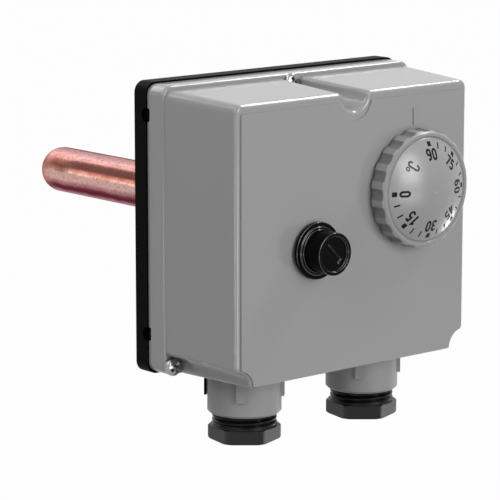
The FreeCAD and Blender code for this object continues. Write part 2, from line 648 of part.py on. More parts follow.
def make_cover():
    """Grey moulded cover: rim, leaning box, screw grooves, raised panel and openings."""
    body = new_body("cover_outside")
    rim = new_sketch(body, "rim", "XZ_Plane", "base_side")
    rounded_box(rim, "-" + RIM_X, RIM_X, "-" + RIM_Z, RIM_Z, "rim_corner")
    pad(body, rim, "rim_front - base_side")
    rounded(body, "rim_edge", at_depth(number("rim_front")))
    lofted(body, [box_section(body, "box_rear", "rim_front", "0", "0", "groove_edge"),
                  box_section(body, "box_front", "box_front", "1", "0", "groove_edge")])
    rounded(body, "front_edge", at_depth(number("box_front")))

    panel_side = BOX_X + " - lean_side - panel_margin_side"
    panel_top = "(" + BOX_TOP + " - lean_top - panel_margin_top)"
    dip = (panel_top + " + panel_dip_rise", "panel_dip")
    bite = (SCREW_X + " - groove_shift_low", SCREW_Z + " + groove_drop_low", "panel_bite")
    panel = grooved_section(body, "panel", "box_front - front_edge",
                            (panel_side, RIM_Z + " - panel_margin_bottom", panel_top), dip, bite,
                            "panel_corner", "panel_edge")
    pad(body, panel, "front_edge + panel_proud")
    bar = new_sketch(body, "index", "XZ_Plane", "box_front")
    outline(bar, [("knob_x - index_wide / 2", "knob_z + index_away"),
                  ("knob_x + index_wide / 2", "knob_z + index_away"),
                  ("knob_x + index_wide / 2", "knob_z + index_away + index_long"),
                  ("knob_x - index_wide / 2", "knob_z + index_away + index_long")])
    pad(body, bar, "panel_proud + index_proud")

    holes = screw_circles(body, "screw_holes", "rim_front + fit_gap", "shank_radius + fit_gap")
    pocket(body, holes, "rim_front - base_side + 2 * fit_gap")
    openings = new_sketch(body, "openings", "XZ_Plane", PANEL + " + index_proud")
    circle(openings, "knob_x", "knob_z", "knob_hub + fit_gap")
    circle(openings, "-reset_x", "-reset_z", "neck_radius + fit_gap")
    pocket(body, openings, PANEL + " + index_proud - base_side")
    notch_half = "(socket_radius + rib_proud + running_gap + fit_gap)"
    slots = new_sketch(body, "slots", "XY_Plane", "-" + RIM_Z)
    rounds = new_sketch(body, "rounds", "XY_Plane", "-" + RIM_Z)
    for _, sign in SIDES:
        middle = sign + "socket_x"
        outline(slots, [(middle + " - " + notch_half, "-base_side"),
                        (middle + " - " + notch_half, "-socket_depth"),
                        (middle + " + " + notch_half, "-socket_depth"),
                        (middle + " + " + notch_half, "-base_side")])
        circle(rounds, middle, "-socket_depth", notch_half)
    pocket(body, slots, "cover_wall + fit_gap", reverse=True)
    pocket(body, rounds, "cover_wall + fit_gap", reverse=True)
    side_notches(body, "lever", "base_side", RIM_X, "vent_deep")

    room = new_body("cover_inside")
    mouth = box_section(room, "mouth", "base_side - fit_gap", "0", "cover_wall", "room_edge")
    pad(room, mouth, "rim_front - base_side + fit_gap")
    deep = "(box_front - cover_wall - rim_front) / (box_front - rim_front)"
    lofted(room, [box_section(room, "room_rear", "rim_front", "0", "cover_wall", "room_edge"),
                  box_section(room, "room_front", "box_front - cover_wall", deep, "cover_wall", "room_edge")])
    return cut_by("front_cover", body, room)


def make_cover_screws():
    """Three pan-head screws that hold the cover."""
    pieces = []
    for name, x, z in COVER_SCREWS:
        head = "-(rim_front + head_height)"
        pieces.append(turned_body("cover_screw_" + name, [
            ("0", "-(rim_front - shank_length)"), ("0", head),
            ("head_radius * 0.45", head, "-head_radius * 1.1"), ("head_radius", "-rim_front"),
            ("shank_radius", "-rim_front"),
            ("shank_radius", "-(rim_front - shank_length + shank_radius / 2)"),
            ("shank_radius / 2", "-(rim_front - shank_length)")], x=x, z=z))
    return pieces


def make_knob():
    """Dial knob: fluted skirt, front ring with a fine groove, domed face, hollow back and hub."""
    rear = KNOB_REAR
    ring_in = "(knob_ring - knob_ring_wide)"
    dome_edge = "(knob_ring - knob_ring_wide - 2 * knob_groove)"
    dome_radius = "((" + dome_edge + " ^ 2 + knob_dome ^ 2) / (2 * knob_dome))"
    hub_rear = "(" + rear + " - knob_hub_reach)"
    skirt_in = "knob_radius - knob_wall - flute_deep"
    hollow_radius = "(" + dome_radius + " - knob_wall)"
    hollow_middle = "(" + rear + " + knob_face + knob_dome - " + dome_radius + ")"
    hollow = "(" + hollow_middle + " + sqrt(" + hollow_radius + " ^ 2 - (%s) ^ 2))"
    body = turned_body("control_knob", [
        ("0", "-(%s + knob_face + knob_dome)" % rear, "-" + dome_radius),
        (dome_edge, "-(%s + knob_face)" % rear),
        (dome_edge + " + knob_groove", "-(%s + knob_face - knob_groove)" % rear),
        (ring_in, "-(%s + knob_face)" % rear),
        ("knob_ring - knob_groove", "-(%s + knob_face)" % rear),
        ("knob_ring", "-(%s + knob_face - knob_groove)" % rear),
        ("knob_ring + knob_groove", "-(%s + knob_skirt)" % rear),
        ("knob_radius", "-(%s)" % rear),
        (skirt_in, "-(%s)" % rear),
        (skirt_in, "-" + hollow % skirt_in, hollow_radius),
        ("knob_hub", "-" + hollow % "knob_hub"),
        ("knob_hub", "-" + hub_rear),
        ("0", "-" + hub_rear)], x="knob_x", z="knob_z")
    doc.recompute()
    flute = new_sketch(body, "flute", "XZ_Plane", rear + " + knob_face - knob_groove / 2")
    circle(flute, "0", "knob_radius + flute_radius - flute_deep", "flute_radius")
    cutter = pocket(body, flute, "knob_face")
    pattern = body.newObject("PartDesign::PolarPattern", "control_knob_flutes")
    pattern.Originals = [cutter]
    pattern.Axis = (origin_plane(body, "Y_Axis"), [""])
    pattern.Angle = 360
    bind(pattern, "Occurrences", "flutes")
    body.Tip = pattern
    doc.recompute()
    bore = new_sketch(body, "bore", "XZ_Plane", hub_rear)
    d_section(bore, "running_gap / 2")
    pocket(body, bore, "spindle_front + running_gap - " + hub_rear, reverse=True)
    return body


def d_section(sketch, extra):
    """The section of the spindle with its flat, made larger all round by an extra."""
    reach = "(spindle_radius + " + extra + ")"
    flat = "(spindle_flat + " + extra + ")"
    half = "sqrt(" + reach + " ^ 2 - " + flat + " ^ 2)"
    outline(sketch, [("-" + half, flat, "-" + reach), ("0", "-" + reach, "-" + reach), (half, flat)])


def make_spindle():
    """Steel spindle of the control switch, with a flat where the knob grips it."""
    body = turned_body("control_spindle", [
        ("0", "-spindle_rear"), ("0", "-spindle_front"), ("spindle_radius", "-spindle_front"),
        ("spindle_radius", "-spindle_rear")], x="knob_x", z="knob_z")
    doc.recompute()
    flat = new_sketch(body, "flat", "XZ_Plane", "spindle_front")
    outline(flat, [("-spindle_radius", "spindle_flat"), ("spindle_radius", "spindle_flat"),
                   ("spindle_radius", "spindle_radius * 1.2"), ("-spindle_radius", "spindle_radius * 1.2")])
    pocket(body, flat, "spindle_front - bush_front - fit_gap")
    return body


def make_switch(name, x, z, hole, floor, notches):
    """Moulded switch body behind the bracket, with a terminal step and a capsule at its rear.
    Its well for the spindle or button ends at the depth floor."""
    body = new_body(name + "_switch", x, REAR, z)
    block = new_sketch(body, "block", "XZ_Plane", "switch_rear")
    rounded_box(block, "-switch_wide / 2", "switch_wide / 2", "-switch_tall / 2", "switch_tall / 2",
                "switch_corner")
    pad(body, block, PLATE_REAR + " - switch_rear")
    step = new_sketch(body, "step", "YZ_Plane")
    outline(step, [("-(%s + switch_rear) / 2" % PLATE_REAR, "-switch_tall / 2"),
                   ("-(%s + 1)" % PLATE_REAR, "-switch_tall / 2"),
                   ("-(%s + 1)" % PLATE_REAR, "-(switch_tall / 2 - switch_step)"),
                   ("-(%s + switch_rear) / 2" % PLATE_REAR, "-(switch_tall / 2 - switch_step)")])
    pocket(body, step, "switch_wide * 1.2", middle=True)
    bays = new_sketch(body, "bays", "XZ_Plane", "switch_rear")
    for index in range(notches):
        middle = "switch_wide * (%d / %d - 0.5)" % (2 * index + 1, 2 * notches)
        outline(bays, [(middle + " - switch_wide / 12", "-switch_tall / 2"),
                       (middle + " + switch_wide / 12", "-switch_tall / 2"),
                       (middle + " + switch_wide / 12", "-(switch_tall / 2 - switch_step)"),
                       (middle + " - switch_wide / 12", "-(switch_tall / 2 - switch_step)")])
    pocket(body, bays, "(" + PLATE_REAR + " - switch_rear) / 3", reverse=True)
    well = new_sketch(body, "well", "XZ_Plane", PLATE_REAR)
    circle(well, "0", "0", hole)
    pocket(body, well, PLATE_REAR + " - " + floor)
    capsule = turned_body(name + "_capsule", [
        ("0", "-" + CAPSULE_REAR), ("0", "-switch_rear"), ("capsule_radius - capsule_edge", "-switch_rear"),
        ("capsule_radius", "-(switch_rear - capsule_edge)"),
        ("capsule_radius", "-(%s + capsule_edge)" % CAPSULE_REAR),
        ("capsule_radius - capsule_edge", "-" + CAPSULE_REAR)], x=x, z=z)
    return [body, capsule]


def make_bush(label, x, z, outer, bore, front):
    """A tube that leads from a switch through the bracket towards the front."""
    return turned_body(label, [
        (bore, "-" + PLATE_REAR), (bore, "-" + front), (outer + " - bush_chamfer", "-" + front),
        (outer, "-(" + front + " - bush_chamfer)"), (outer, "-" + PLATE_REAR)], x=x, z=z)


def make_button():
    """Reset plunger with a domed end, which slides in the neck."""
    return turned_body("reset_button", [
        ("0", "-button_rear"), ("0", "-button_front", "-button_radius * 2"),
        ("button_radius * 0.7", "-(button_front - button_radius * 0.13)"),
        ("button_radius", "-(button_front - button_radius * 0.4)"), ("button_radius", "-button_rear")],
        x="-reset_x", z="-reset_z")


def make_cap():
    """Black screw cap over the reset button, with a recessed end and a coin slot."""
    rear = CAP_REAR
    bore = "(neck_radius + running_gap)"
    end = "(" + rear + " + cap_long)"
    foot = "(" + rear + " + cap_flange_thick + cap_foot_tall)"
    body = turned_body("reset_cap", [
        (bore, "-" + rear), (bore, "-(" + end + " - cap_top)"), ("0", "-(" + end + " - cap_top)"),
        ("0", "-(" + end + " - cap_recess)"), ("cap_recess_radius", "-(" + end + " - cap_recess)"),
        ("cap_recess_radius", "-" + end), ("cap_radius - fit_gap", "-" + end),
        ("cap_radius", "-(" + end + " - fit_gap)"), ("cap_radius", "-" + foot), ("cap_foot", "-" + foot),
        ("cap_foot", "-(" + rear + " + cap_flange_thick)"),
        ("cap_flange - fit_gap", "-(" + rear + " + cap_flange_thick)"),
        ("cap_flange", "-(" + rear + " + cap_flange_thick - fit_gap)"), ("cap_flange", "-" + rear)],
        x="-reset_x", z="-reset_z")
    slot = new_sketch(body, "slot", "XZ_Plane", end)
    slanted_box(slot, "0", "0", "-cap_recess_radius", "cap_recess_radius", "cap_slot", "135")
    pocket(body, slot, "cap_recess + cap_slot_deep")
    flat = new_sketch(body, "flat", "XZ_Plane", rear)
    slanted_box(flat, "0", "0", "cap_flat", "cap_flange * 1.2", "cap_flange * 2", "225")
    pocket(body, flat, "cap_flange_thick", reverse=True)
    seal = turned_body("cap_seal", [
        ("cap_seal_inner", "-(" + PANEL + " + running_gap)"),
        ("cap_seal_outer", "-(" + PANEL + " + running_gap)"),
        ("cap_seal_outer", "-(" + PANEL + " + running_gap + cap_seal_thick)"),
        ("cap_seal_inner", "-(" + PANEL + " + running_gap + cap_seal_thick)")], x="-reset_x", z="-reset_z")
    return [body, seal]


def make_bracket():
    """Sheet-metal bracket that carries both switches, on two legs with feet."""
    body = new_body("mounting_bracket")
    front = "-plate_front"
    rear = "-" + PLATE_REAR
    foot = "-(base_floor + plate_thick)"
    up = "(plate_up + plate_thick)"
    down = "(plate_down + plate_thick)"
    profile = new_sketch(body, "profile", "YZ_Plane", "plate_shift")
    outline(profile, [
        (front, up), (foot, up), (foot, up + " + plate_foot"), ("-base_floor", up + " + plate_foot"),
        ("-base_floor", "plate_up"), (rear, "plate_up"), (rear, "-plate_down"),
        ("-base_floor", "-plate_down"),
        ("-base_floor", "-(" + down + " + plate_foot)"), (foot, "-(" + down + " + plate_foot)"),
        (foot, "-" + down), (front, "-" + down)])
    pad(body, profile, "plate_wide", middle=True)
    rounded(body, "plate_bend", is_bracket_bend)
    holes = new_sketch(body, "holes", "XZ_Plane", "plate_front")
    circle(holes, "knob_x", "knob_z", "bush_radius + running_gap")
    circle(holes, "-reset_x", "-reset_z", "neck_radius + running_gap")
    pocket(body, holes, "plate_thick")
    fixings = new_sketch(body, "fixings", "XZ_Plane", "base_floor + plate_thick")
    for x, z in BRACKET_SCREWS:
        circle(fixings, x, z, "small_shank + running_gap * 2")
    pocket(body, fixings, "plate_thick")
    windows = new_sketch(body, "windows", "XY_Plane", "plate_up + plate_thick * 2")
    depth = "(" + PLATE_REAR + " - base_floor)"
    rounded_box(windows, "plate_shift - plate_wide / 3", "plate_shift + plate_wide / 3",
                "-(base_floor + %s * 0.8)" % depth, "-(base_floor + %s * 0.35)" % depth, "plate_thick * 2")
    pocket(body, windows, "plate_thick * 3")
    return body


def is_bracket_bend(edge):
    """The outer edges of the bracket's two front bends."""
    wide = edge.BoundBox.XLength > number("plate_wide") / 2
    return wide and at_depth(number("plate_front"))(edge)


def make_small_screw(label, x, z, under, shank):
    """A cheese-head screw that holds a part on the base's rear wall."""
    return turned_body(label, [
        ("0", "-(" + under + " - " + shank + ")"), ("0", "-(" + under + " + small_head_tall)"),
        ("small_head - fit_gap", "-(" + under + " + small_head_tall)"),
        ("small_head", "-(" + under + " + small_head_tall - fit_gap)"), ("small_head", "-" + under),
        ("small_shank", "-" + under), ("small_shank", "-(" + under + " - " + shank + ")")], x=x, z=z)


def make_earth():
    """Brass earth clamp and its screw."""
    clamp = new_body("earth_clamp", "earth_x", REAR, "-earth_z")
    block = new_sketch(clamp, "block", "XZ_Plane", "base_floor")
    rounded_box(block, "-earth_side / 2", "earth_side / 2", "-earth_side / 2", "earth_side / 2", "fit_gap")
    pad(clamp, block, "earth_tall")
    hole = new_sketch(clamp, "hole", "XZ_Plane", "base_floor + earth_tall")
    circle(hole, "0", "0", "small_shank + running_gap * 2")
    pocket(clamp, hole, "earth_tall")
    wire = new_sketch(clamp, "wire", "YZ_Plane")
    circle(wire, "-(base_floor + earth_tall * 0.3)", "0", "earth_tall * 0.2")
    pocket(clamp, wire, "earth_side * 1.5", middle=True)
    screw = make_small_screw("earth_screw", "earth_x", "-earth_z", "(base_floor + earth_tall)",
                             "(earth_tall + base_floor / 2)")
    return [clamp, screw]


def make_socket(side, sign):
    """Grey cable socket: neck in the shelf, threaded bore, two ribs towards the front."""
    body = turned_body("cable_socket_" + side, [
        ("socket_throat", "-" + SHOULDER), ("socket_throat", "-(" + SHELF_LOW + " - socket_neck_tall)"),
        ("socket_neck", "-(" + SHELF_LOW + " - socket_neck_tall)"), ("socket_neck", "-" + SHELF_LOW),
        ("socket_radius", "-" + SHELF_LOW), ("socket_radius", "-(" + SOCKET_LOW + " - socket_edge)"),
        ("socket_radius - socket_edge", "-" + SOCKET_LOW), ("socket_bore", "-" + SOCKET_LOW),
        ("socket_bore", "-" + SHOULDER)],
        x=sign + "socket_x", y="-(stand_off + socket_depth)", plane="XZ_Plane")
    doc.recompute()
    ribs = new_sketch(body, "ribs", "XY_Plane", "-" + SHELF_LOW)
    for turn in ("-rib_turn", "(180 + rib_turn)"):
        slanted_box(ribs, "0", "0", "socket_radius - fit_gap", "socket_radius + rib_proud", "rib_wide", turn)
    pad(body, ribs, RIM_Z + " - " + SHELF_LOW + " + rib_drop", reverse=True)
    return body


def make_gland(side, sign):
    """Rubber seal, slip washer and hexagonal compression nut of one cable socket."""
    place = {"x": sign + "socket_x", "y": "-(stand_off + socket_depth)", "plane": "XZ_Plane"}
    seal = turned_body("gland_seal_" + side, [
        ("seal_bore", "-" + SHOULDER), ("socket_bore - running_gap * 2", "-" + SHOULDER),
        ("socket_bore - running_gap * 2", "-(" + SHOULDER + " + seal_thick)"),
        ("seal_bore + seal_thick / 5", "-(" + SHOULDER + " + seal_thick)"),
        ("seal_bore", "-(" + SHOULDER + " + seal_thick * 0.8)")], **place)
    washer = turned_body("gland_washer_" + side, [
        ("washer_bore", "-" + WASHER_TOP), ("socket_bore - running_gap * 3", "-" + WASHER_TOP),
        ("socket_bore - running_gap * 3", "-(" + WASHER_TOP + " + gland_washer)"),
        ("washer_bore", "-(" + WASHER_TOP + " + gland_washer)")], **place)
    nut = new_body("gland_nut_" + side, place["x"], place["y"], "0", turn="gland_turn")
    head = new_sketch(nut, "head", "XY_Plane", "-(" + GLAND_TOP + " + gland_shank)")
    hexagon(head, "gland_flats")
    pad(nut, head, "gland_head", reverse=True)
    shank = new_sketch(nut, "shank", "XY_Plane", "-" + GLAND_TOP)
    circle(shank, "0", "0", "socket_bore - running_gap")
    pad(nut, shank, "gland_shank", reverse=True)
    bore = new_sketch(nut, "bore", "XY_Plane", "-" + GLAND_TOP)
    circle(bore, "0", "0", "gland_bore")
    pocket(nut, bore, "gland_shank + gland_head")
    low = "(" + GLAND_TOP + " + gland_shank + gland_head)"
    corner = "gland_flats / (2 * cos(30))"
    for name, level, away in (("upper", GLAND_TOP + " + gland_shank", "+"), ("lower", low, "-")):
        bevel = new_sketch(nut, "bevel_" + name, "XZ_Plane")
        slope = "(" + corner + " * 1.2 - gland_flats / 2) * tan(30)"
        side_points = [("gland_flats / 2", "-(" + level + ")"), (corner + " * 1.2", "-(" + level + ")"),
                       (corner + " * 1.2", "-(" + level + " " + away + " " + slope + ")")]
        outline(bevel, side_points)
        turned(nut, bevel, cut=True)
    return [seal, washer, nut]


def make_nipple():
    """Brass nipple: thread, seating collar, hexagon, spigot through the base, and its lock nut."""
    nipple = turned_body("brass_nipple", [
        ("pocket_radius + running_gap", "thread_long"), ("thread_radius - thread_chamfer", "thread_long"),
        ("thread_radius", "thread_long - thread_chamfer"), ("thread_radius", "0"), ("collar_radius", "0"),
        ("collar_radius", "-collar_thick"), ("hexagon_flats / 2 - fit_gap", "-collar_thick"),
        ("hexagon_flats / 2 - fit_gap", "-stand_off"), ("spigot_radius", "-stand_off"),
        ("spigot_radius", "-(stand_off + spigot_front)"), ("nipple_bore", "-(stand_off + spigot_front)"),
        ("nipple_bore", "-pocket_seat"), ("pocket_radius + running_gap", "-pocket_seat")], y="0")
    doc.recompute()
    flats = new_sketch(nipple, "flats", "XZ_Plane", "collar_thick")
    hexagon(flats, "hexagon_flats")
    circle(flats, "0", "0", "hexagon_flats / 2 - fit_gap * 3")
    pad(nipple, flats, "stand_off - collar_thick * 2")
    nut = new_body("nipple_lock_nut")
    blank = new_sketch(nut, "blank", "XZ_Plane", "base_floor")
    hexagon(blank, "locknut_flats")
    circle(blank, "0", "0", "spigot_radius + running_gap")
    pad(nut, blank, "locknut_thick")
    return [nipple, nut]


def rod(label, radius, start, end, x="0", z="0", round_start=False):
    """A round bar along the pocket, with one or two domed ends."""
    points = [("0", end, radius), (radius, "(" + end + ") - (" + radius + ")")]
    if round_start:
        points += [(radius, "(" + start + ") + (" + radius + ")", radius), ("0", start)]
    else:
        points += [(radius, start), ("0", start)]
    return turned_body(label, points, x=x, y="0", z=z)


def make_pocket():
    """Closed copper pocket with a groove pressed along its upper left side."""
    out = "(pocket_radius - dent_deep + dent_radius)"
    x = "-" + out + " * cos(dent_turn)"
    z = out + " * sin(dent_turn)"
    outside = rod("pocket_outside", "pocket_radius", "-pocket_seat", "pocket_long")
    inside = rod("pocket_inside", "(pocket_radius - pocket_wall)", "-pocket_seat - pocket_wall",
                 "pocket_long - pocket_wall")
    dent = rod("dent_outside", "dent_radius", "thread_long + pocket_wall", "pocket_long - dent_end", x=x, z=z,
               round_start=True)
    bulge = rod("dent_inside", "(dent_radius + pocket_wall)", "thread_long",
                "pocket_long - dent_end + pocket_wall", x=x, z=z, round_start=True)
    dented = cut_by("pocket_dented", outside, dent)
    return cut_by("copper_pocket", dented, cut_by("pocket_room", inside, bulge))


def make_bulb(name, sign, x, z):
    """A sensing bulb in the pocket and its capillary, which runs to the capsule of its switch."""
    bulb = turned_body(name + "_bulb", [
        ("0", "bulb_start"), ("tube_radius * 1.5", "bulb_start"), ("bulb_radius", "bulb_start + bulb_radius"),
        ("bulb_radius", "bulb_start + bulb_long - bulb_radius", "-bulb_radius"),
        ("0", "bulb_start + bulb_long")], x=sign + "bulb_side", y="0", z="-bulb_drop")
    across = "(%s - (%sbulb_side))" % (x, sign)
    rise = "(%s + bulb_drop)" % z
    length = "sqrt(" + across + " ^ 2 + " + rise + " ^ 2)"
    tube = new_body(name + "_capillary", sign + "bulb_side", "0", "-bulb_drop")
    tube.Placement = FreeCAD.Placement(tube.Placement.Base, FreeCAD.Rotation(FreeCAD.Vector(0, -1, 0), 0))
    bind(tube, "Placement.Rotation.Angle", "atan2(" + rise + "; " + across + ")")
    run = "-(stand_off + tube_cross)"
    end = "-(stand_off + " + CAPSULE_REAR + ")"
    route = new_sketch(tube, "route", "XY_Plane")
    outline(route, [("0", "bulb_start"), ("0", run + " + tube_bend", "-tube_bend"), ("tube_bend", run),
                    (length + " - tube_bend", run, "tube_bend"), (length, run + " - tube_bend"),
                    (length, end)], closed=False)
    ring = new_sketch(tube, "ring", "XZ_Plane", "-bulb_start")
    circle(ring, "0", "0", "tube_radius")
    pipe = tube.newObject("PartDesign::AdditivePipe", name + "_capillary_pipe")
    pipe.Profile = ring
    pipe.Spine = (route, [""])
    return [bulb, tube]


def make_spring():
    """Leaf spring that presses the two bulbs down in the pocket."""
    body = new_body("bulb_spring", "0", "0", "0")
    bow = new_sketch(body, "bow", "YZ_Plane")
    rise = "(spring_high - spring_low)"
    radius = "(((spring_long / 2) ^ 2 + " + rise + " ^ 2) / (2 * " + rise + "))"
    finish = "spring_start + spring_long"
    outline(bow, [("spring_start", "spring_low", radius), (finish, "spring_low"),
                  (finish + " - spring_thick / 4", "spring_low - spring_thick", "-" + radius),
                  ("spring_start + spring_thick / 4", "spring_low - spring_thick")])
    pad(body, bow, "spring_wide", middle=True)
    return body


def build():
    pieces = [make_base(), make_cover()]
    pieces += make_cover_screws()
    pieces += [make_knob(), make_spindle()]
    pieces += make_switch("control", "knob_x", "knob_z", "spindle_radius + fit_gap",
                          "(spindle_rear - fit_gap)", 3)
    pieces += make_switch("limit", "-reset_x", "-reset_z", "button_radius + fit_gap",
                          "(button_rear - button_travel - fit_gap)", 2)
    pieces.append(make_bush("spindle_bush", "knob_x", "knob_z", "bush_radius",
                            "(spindle_radius + running_gap)", "bush_front"))
    pieces.append(make_bush("reset_neck", "-reset_x", "-reset_z", "neck_radius",
                            "(button_radius + running_gap)", "neck_front"))
    pieces.append(make_button())
    pieces += make_cap()
    pieces.append(make_bracket())
    for index, (x, z) in enumerate(BRACKET_SCREWS, 1):
        pieces.append(make_small_screw("bracket_screw_%d" % index, x, z, "(base_floor + plate_thick)",
                                       "(plate_thick + base_floor / 2)"))
    pieces += make_earth()
    pieces += make_nipple()
    pieces.append(make_pocket())
    pieces += make_bulb("control", "", "knob_x", "knob_z")
    pieces += make_bulb("limit", "-", "(-reset_x)", "(-reset_z)")
    pieces.append(make_spring())
    for side, sign in SIDES:
        pieces.append(make_socket(side, sign))
        pieces += make_gland(side, sign)
    return pieces


pieces = build()
doc.recompute()
for item in doc.Objects:
    if "Invalid" in item.State or "Error" in item.State:
        raise RuntimeError(item.Name + " did not build: " + str(item.State))
for piece in pieces:
    if piece.Shape.isNull() or not piece.Shape.isValid() or len(piece.Shape.Solids) != 1:
        raise RuntimeError(piece.Label + " is not one valid solid")
os.makedirs("parts", exist_ok=True)
for piece in pieces:
    piece.Shape.exportStep(os.path.join("parts", piece.Label + ".step"))
    print(piece.Label, round(piece.Shape.Volume, 1))
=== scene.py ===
# %% [markdown]
# # An immersion thermostat
#
# A square grey case screws to a hot-water tank by a brass nipple, and a copper pocket reaches into
# the water. The solids come ready from the CAD model. This script gives them their surfaces: the
# moulded plastics, the drawn copper, the turned brass, the printed dial, and the fine threads and
# screw recesses that are too small for the CAD model.
#
# The first step loads the solids and keeps their box, which sets the height of the floor.

import json
import math

import bmesh
import bpy
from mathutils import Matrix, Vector


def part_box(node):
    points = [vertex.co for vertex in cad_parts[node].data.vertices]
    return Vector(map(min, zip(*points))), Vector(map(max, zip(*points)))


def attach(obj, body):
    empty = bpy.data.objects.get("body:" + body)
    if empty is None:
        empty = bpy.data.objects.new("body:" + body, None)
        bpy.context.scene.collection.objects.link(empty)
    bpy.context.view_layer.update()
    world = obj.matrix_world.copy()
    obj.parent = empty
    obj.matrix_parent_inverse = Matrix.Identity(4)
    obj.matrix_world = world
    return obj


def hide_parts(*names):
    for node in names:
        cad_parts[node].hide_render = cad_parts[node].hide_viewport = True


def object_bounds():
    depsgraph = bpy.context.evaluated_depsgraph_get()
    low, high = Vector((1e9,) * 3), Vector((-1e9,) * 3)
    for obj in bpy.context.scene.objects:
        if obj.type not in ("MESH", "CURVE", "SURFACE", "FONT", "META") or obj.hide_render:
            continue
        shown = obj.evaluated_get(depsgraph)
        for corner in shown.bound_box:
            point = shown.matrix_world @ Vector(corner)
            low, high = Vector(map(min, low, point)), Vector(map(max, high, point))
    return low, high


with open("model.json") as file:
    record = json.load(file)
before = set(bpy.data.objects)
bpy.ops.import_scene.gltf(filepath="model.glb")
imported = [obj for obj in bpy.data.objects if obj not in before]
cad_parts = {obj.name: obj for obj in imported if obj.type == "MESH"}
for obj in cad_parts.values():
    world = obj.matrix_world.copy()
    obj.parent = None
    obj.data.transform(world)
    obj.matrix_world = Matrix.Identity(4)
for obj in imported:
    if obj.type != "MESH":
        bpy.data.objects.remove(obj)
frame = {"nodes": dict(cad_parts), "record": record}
MM = 0.001
cad_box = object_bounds()
corners_mm = [[round(value / MM, 1) for value in corner] for corner in cad_box]
print("nodes:", len(frame["nodes"]), "box in mm:", corners_mm)

# %% [markdown]
# ## The camera
#
# The photograph is a catalogue picture taken with a long lens, from the front left and a little
# above. A long lens keeps the case's edges nearly parallel. The place, the aim and the lens were
# worked out from the corners of the case and the round parts in the photograph, so the render can be
# laid over it.

# %% Camera
CAMERA_PLACE = Vector((-555.0, -650.4, 147.8)) * MM
CAMERA_AIM = Vector((-22.55, -31.3, -7.52)) * MM
LENS = 197.1
SENSOR = 36.0
NEAREST = 10 * MM


def make_camera():
    data = bpy.data.cameras.new("photo_camera")
    data.lens = LENS
    data.sensor_width = SENSOR
    data.clip_start = NEAREST
    camera = bpy.data.objects.new("photo_camera", data)
    camera.location = CAMERA_PLACE
    camera.rotation_euler = (CAMERA_AIM - CAMERA_PLACE).to_track_quat("-Z", "Y").to_euler()
    bpy.context.scene.collection.objects.link(camera)
    bpy.context.scene.camera = camera


make_camera()
bpy.context.scene.view_settings.view_transform = "Standard"
print("camera stands", round((CAMERA_AIM - CAMERA_PLACE).length, 3), "m away")

# %% [markdown]
# ## The room
#
# The part hangs free, as it does when it is screwed to a tank, above a plain pale floor. Both the
# world round it and the floor are built from nodes, and so are all materials. Small helpers add the
# nodes: each takes plain values or the outputs of other nodes.

# %% Helpers that add nodes


def feed(tree, socket, value):
    """Set a socket to a plain value, or link it to the output of another node."""
    if isinstance(value, (int, float, tuple)):
        socket.default_value = value
    else:
        tree.links.new(value, socket)


def add_math(tree, operation, first, second):
    node = tree.nodes.new("ShaderNodeMath")
    node.operation = operation
    feed(tree, node.inputs[0], first)
    feed(tree, node.inputs[1], second)
    return node.outputs[0]


def add_shader_mix(tree, share, first, second):
    node = tree.nodes.new("ShaderNodeMixShader")
    for socket, value in zip(node.inputs, (share, first, second)):
        tree.links.new(value, socket)
    return node.outputs[0]


def seen_directly(tree):
    """A value of 1 for camera, mirror and glass rays, and 0 for light that bounces."""
    rays = tree.nodes.new("ShaderNodeLightPath").outputs
    seen_or_mirrored = add_math(tree, "MAXIMUM", rays["Is Camera Ray"], rays["Is Glossy Ray"])
    return add_math(tree, "MAXIMUM", seen_or_mirrored, rays["Is Transmission Ray"])


print("node helpers ready")

# %% [markdown]
# The world looks white to the camera, and to mirrors and glass, but lights the part only softly, so
# that the lamps shape it. Light Path tells the two kinds of rays apart.

# %% World
WHITE = (1.0, 1.0, 1.0, 1.0)
ROOM_LIGHT = 0.2


def make_world():
    world = bpy.data.worlds.new("studio")
    world.use_nodes = True
    tree = world.node_tree
    tree.nodes.clear()
    room = tree.nodes.new("ShaderNodeBackground")
    room.inputs["Strength"].default_value = ROOM_LIGHT
    white = tree.nodes.new("ShaderNodeBackground")
    for background in (room, white):
        background.inputs["Color"].default_value = WHITE
    mix = add_shader_mix(tree, seen_directly(tree), room.outputs[0], white.outputs[0])
    tree.links.new(mix, tree.nodes.new("ShaderNodeOutputWorld").inputs["Surface"])
    bpy.context.scene.world = world


make_world()
print("the room lights the part with strength", ROOM_LIGHT)

# %% [markdown]
# The floor does the same as the world: it glows a plain white for the camera, and is dull grey paint
# to the light that bounces. It is large enough to have no edge in the picture.

# %% Floor
FLOOR_DROP = 0.30
FLOOR_SIZE = 12.0
FLOOR_PAINT = (0.2, 0.2, 0.2, 1.0)
FLOOR_ROUGHNESS = 0.9
FLOOR_WHITENESS = 0.985


def make_floor():
    half = FLOOR_SIZE / 2
    level = cad_box[0][2] - FLOOR_DROP
    corners = [(-half, -half, level), (half, -half, level), (half, half, level), (-half, half, level)]
    mesh = bpy.data.meshes.new("floor")
    mesh.from_pydata(corners, [], [(0, 1, 2, 3)])
    floor = bpy.data.objects.new("floor", mesh)
    bpy.context.scene.collection.objects.link(floor)
    material = bpy.data.materials.new("pale_floor")
    material.use_nodes = True
    tree = material.node_tree
    paint = tree.nodes["Principled BSDF"]
    paint.inputs["Base Color"].default_value = FLOOR_PAINT
    paint.inputs["Roughness"].default_value = FLOOR_ROUGHNESS
    glow = tree.nodes.new("ShaderNodeEmission")
    share = add_math(tree, "MULTIPLY", seen_directly(tree), FLOOR_WHITENESS)
    mix = add_shader_mix(tree, share, paint.outputs[0], glow.outputs[0])
    tree.links.new(mix, tree.nodes["Material Output"].inputs["Surface"])
    mesh.materials.append(material)


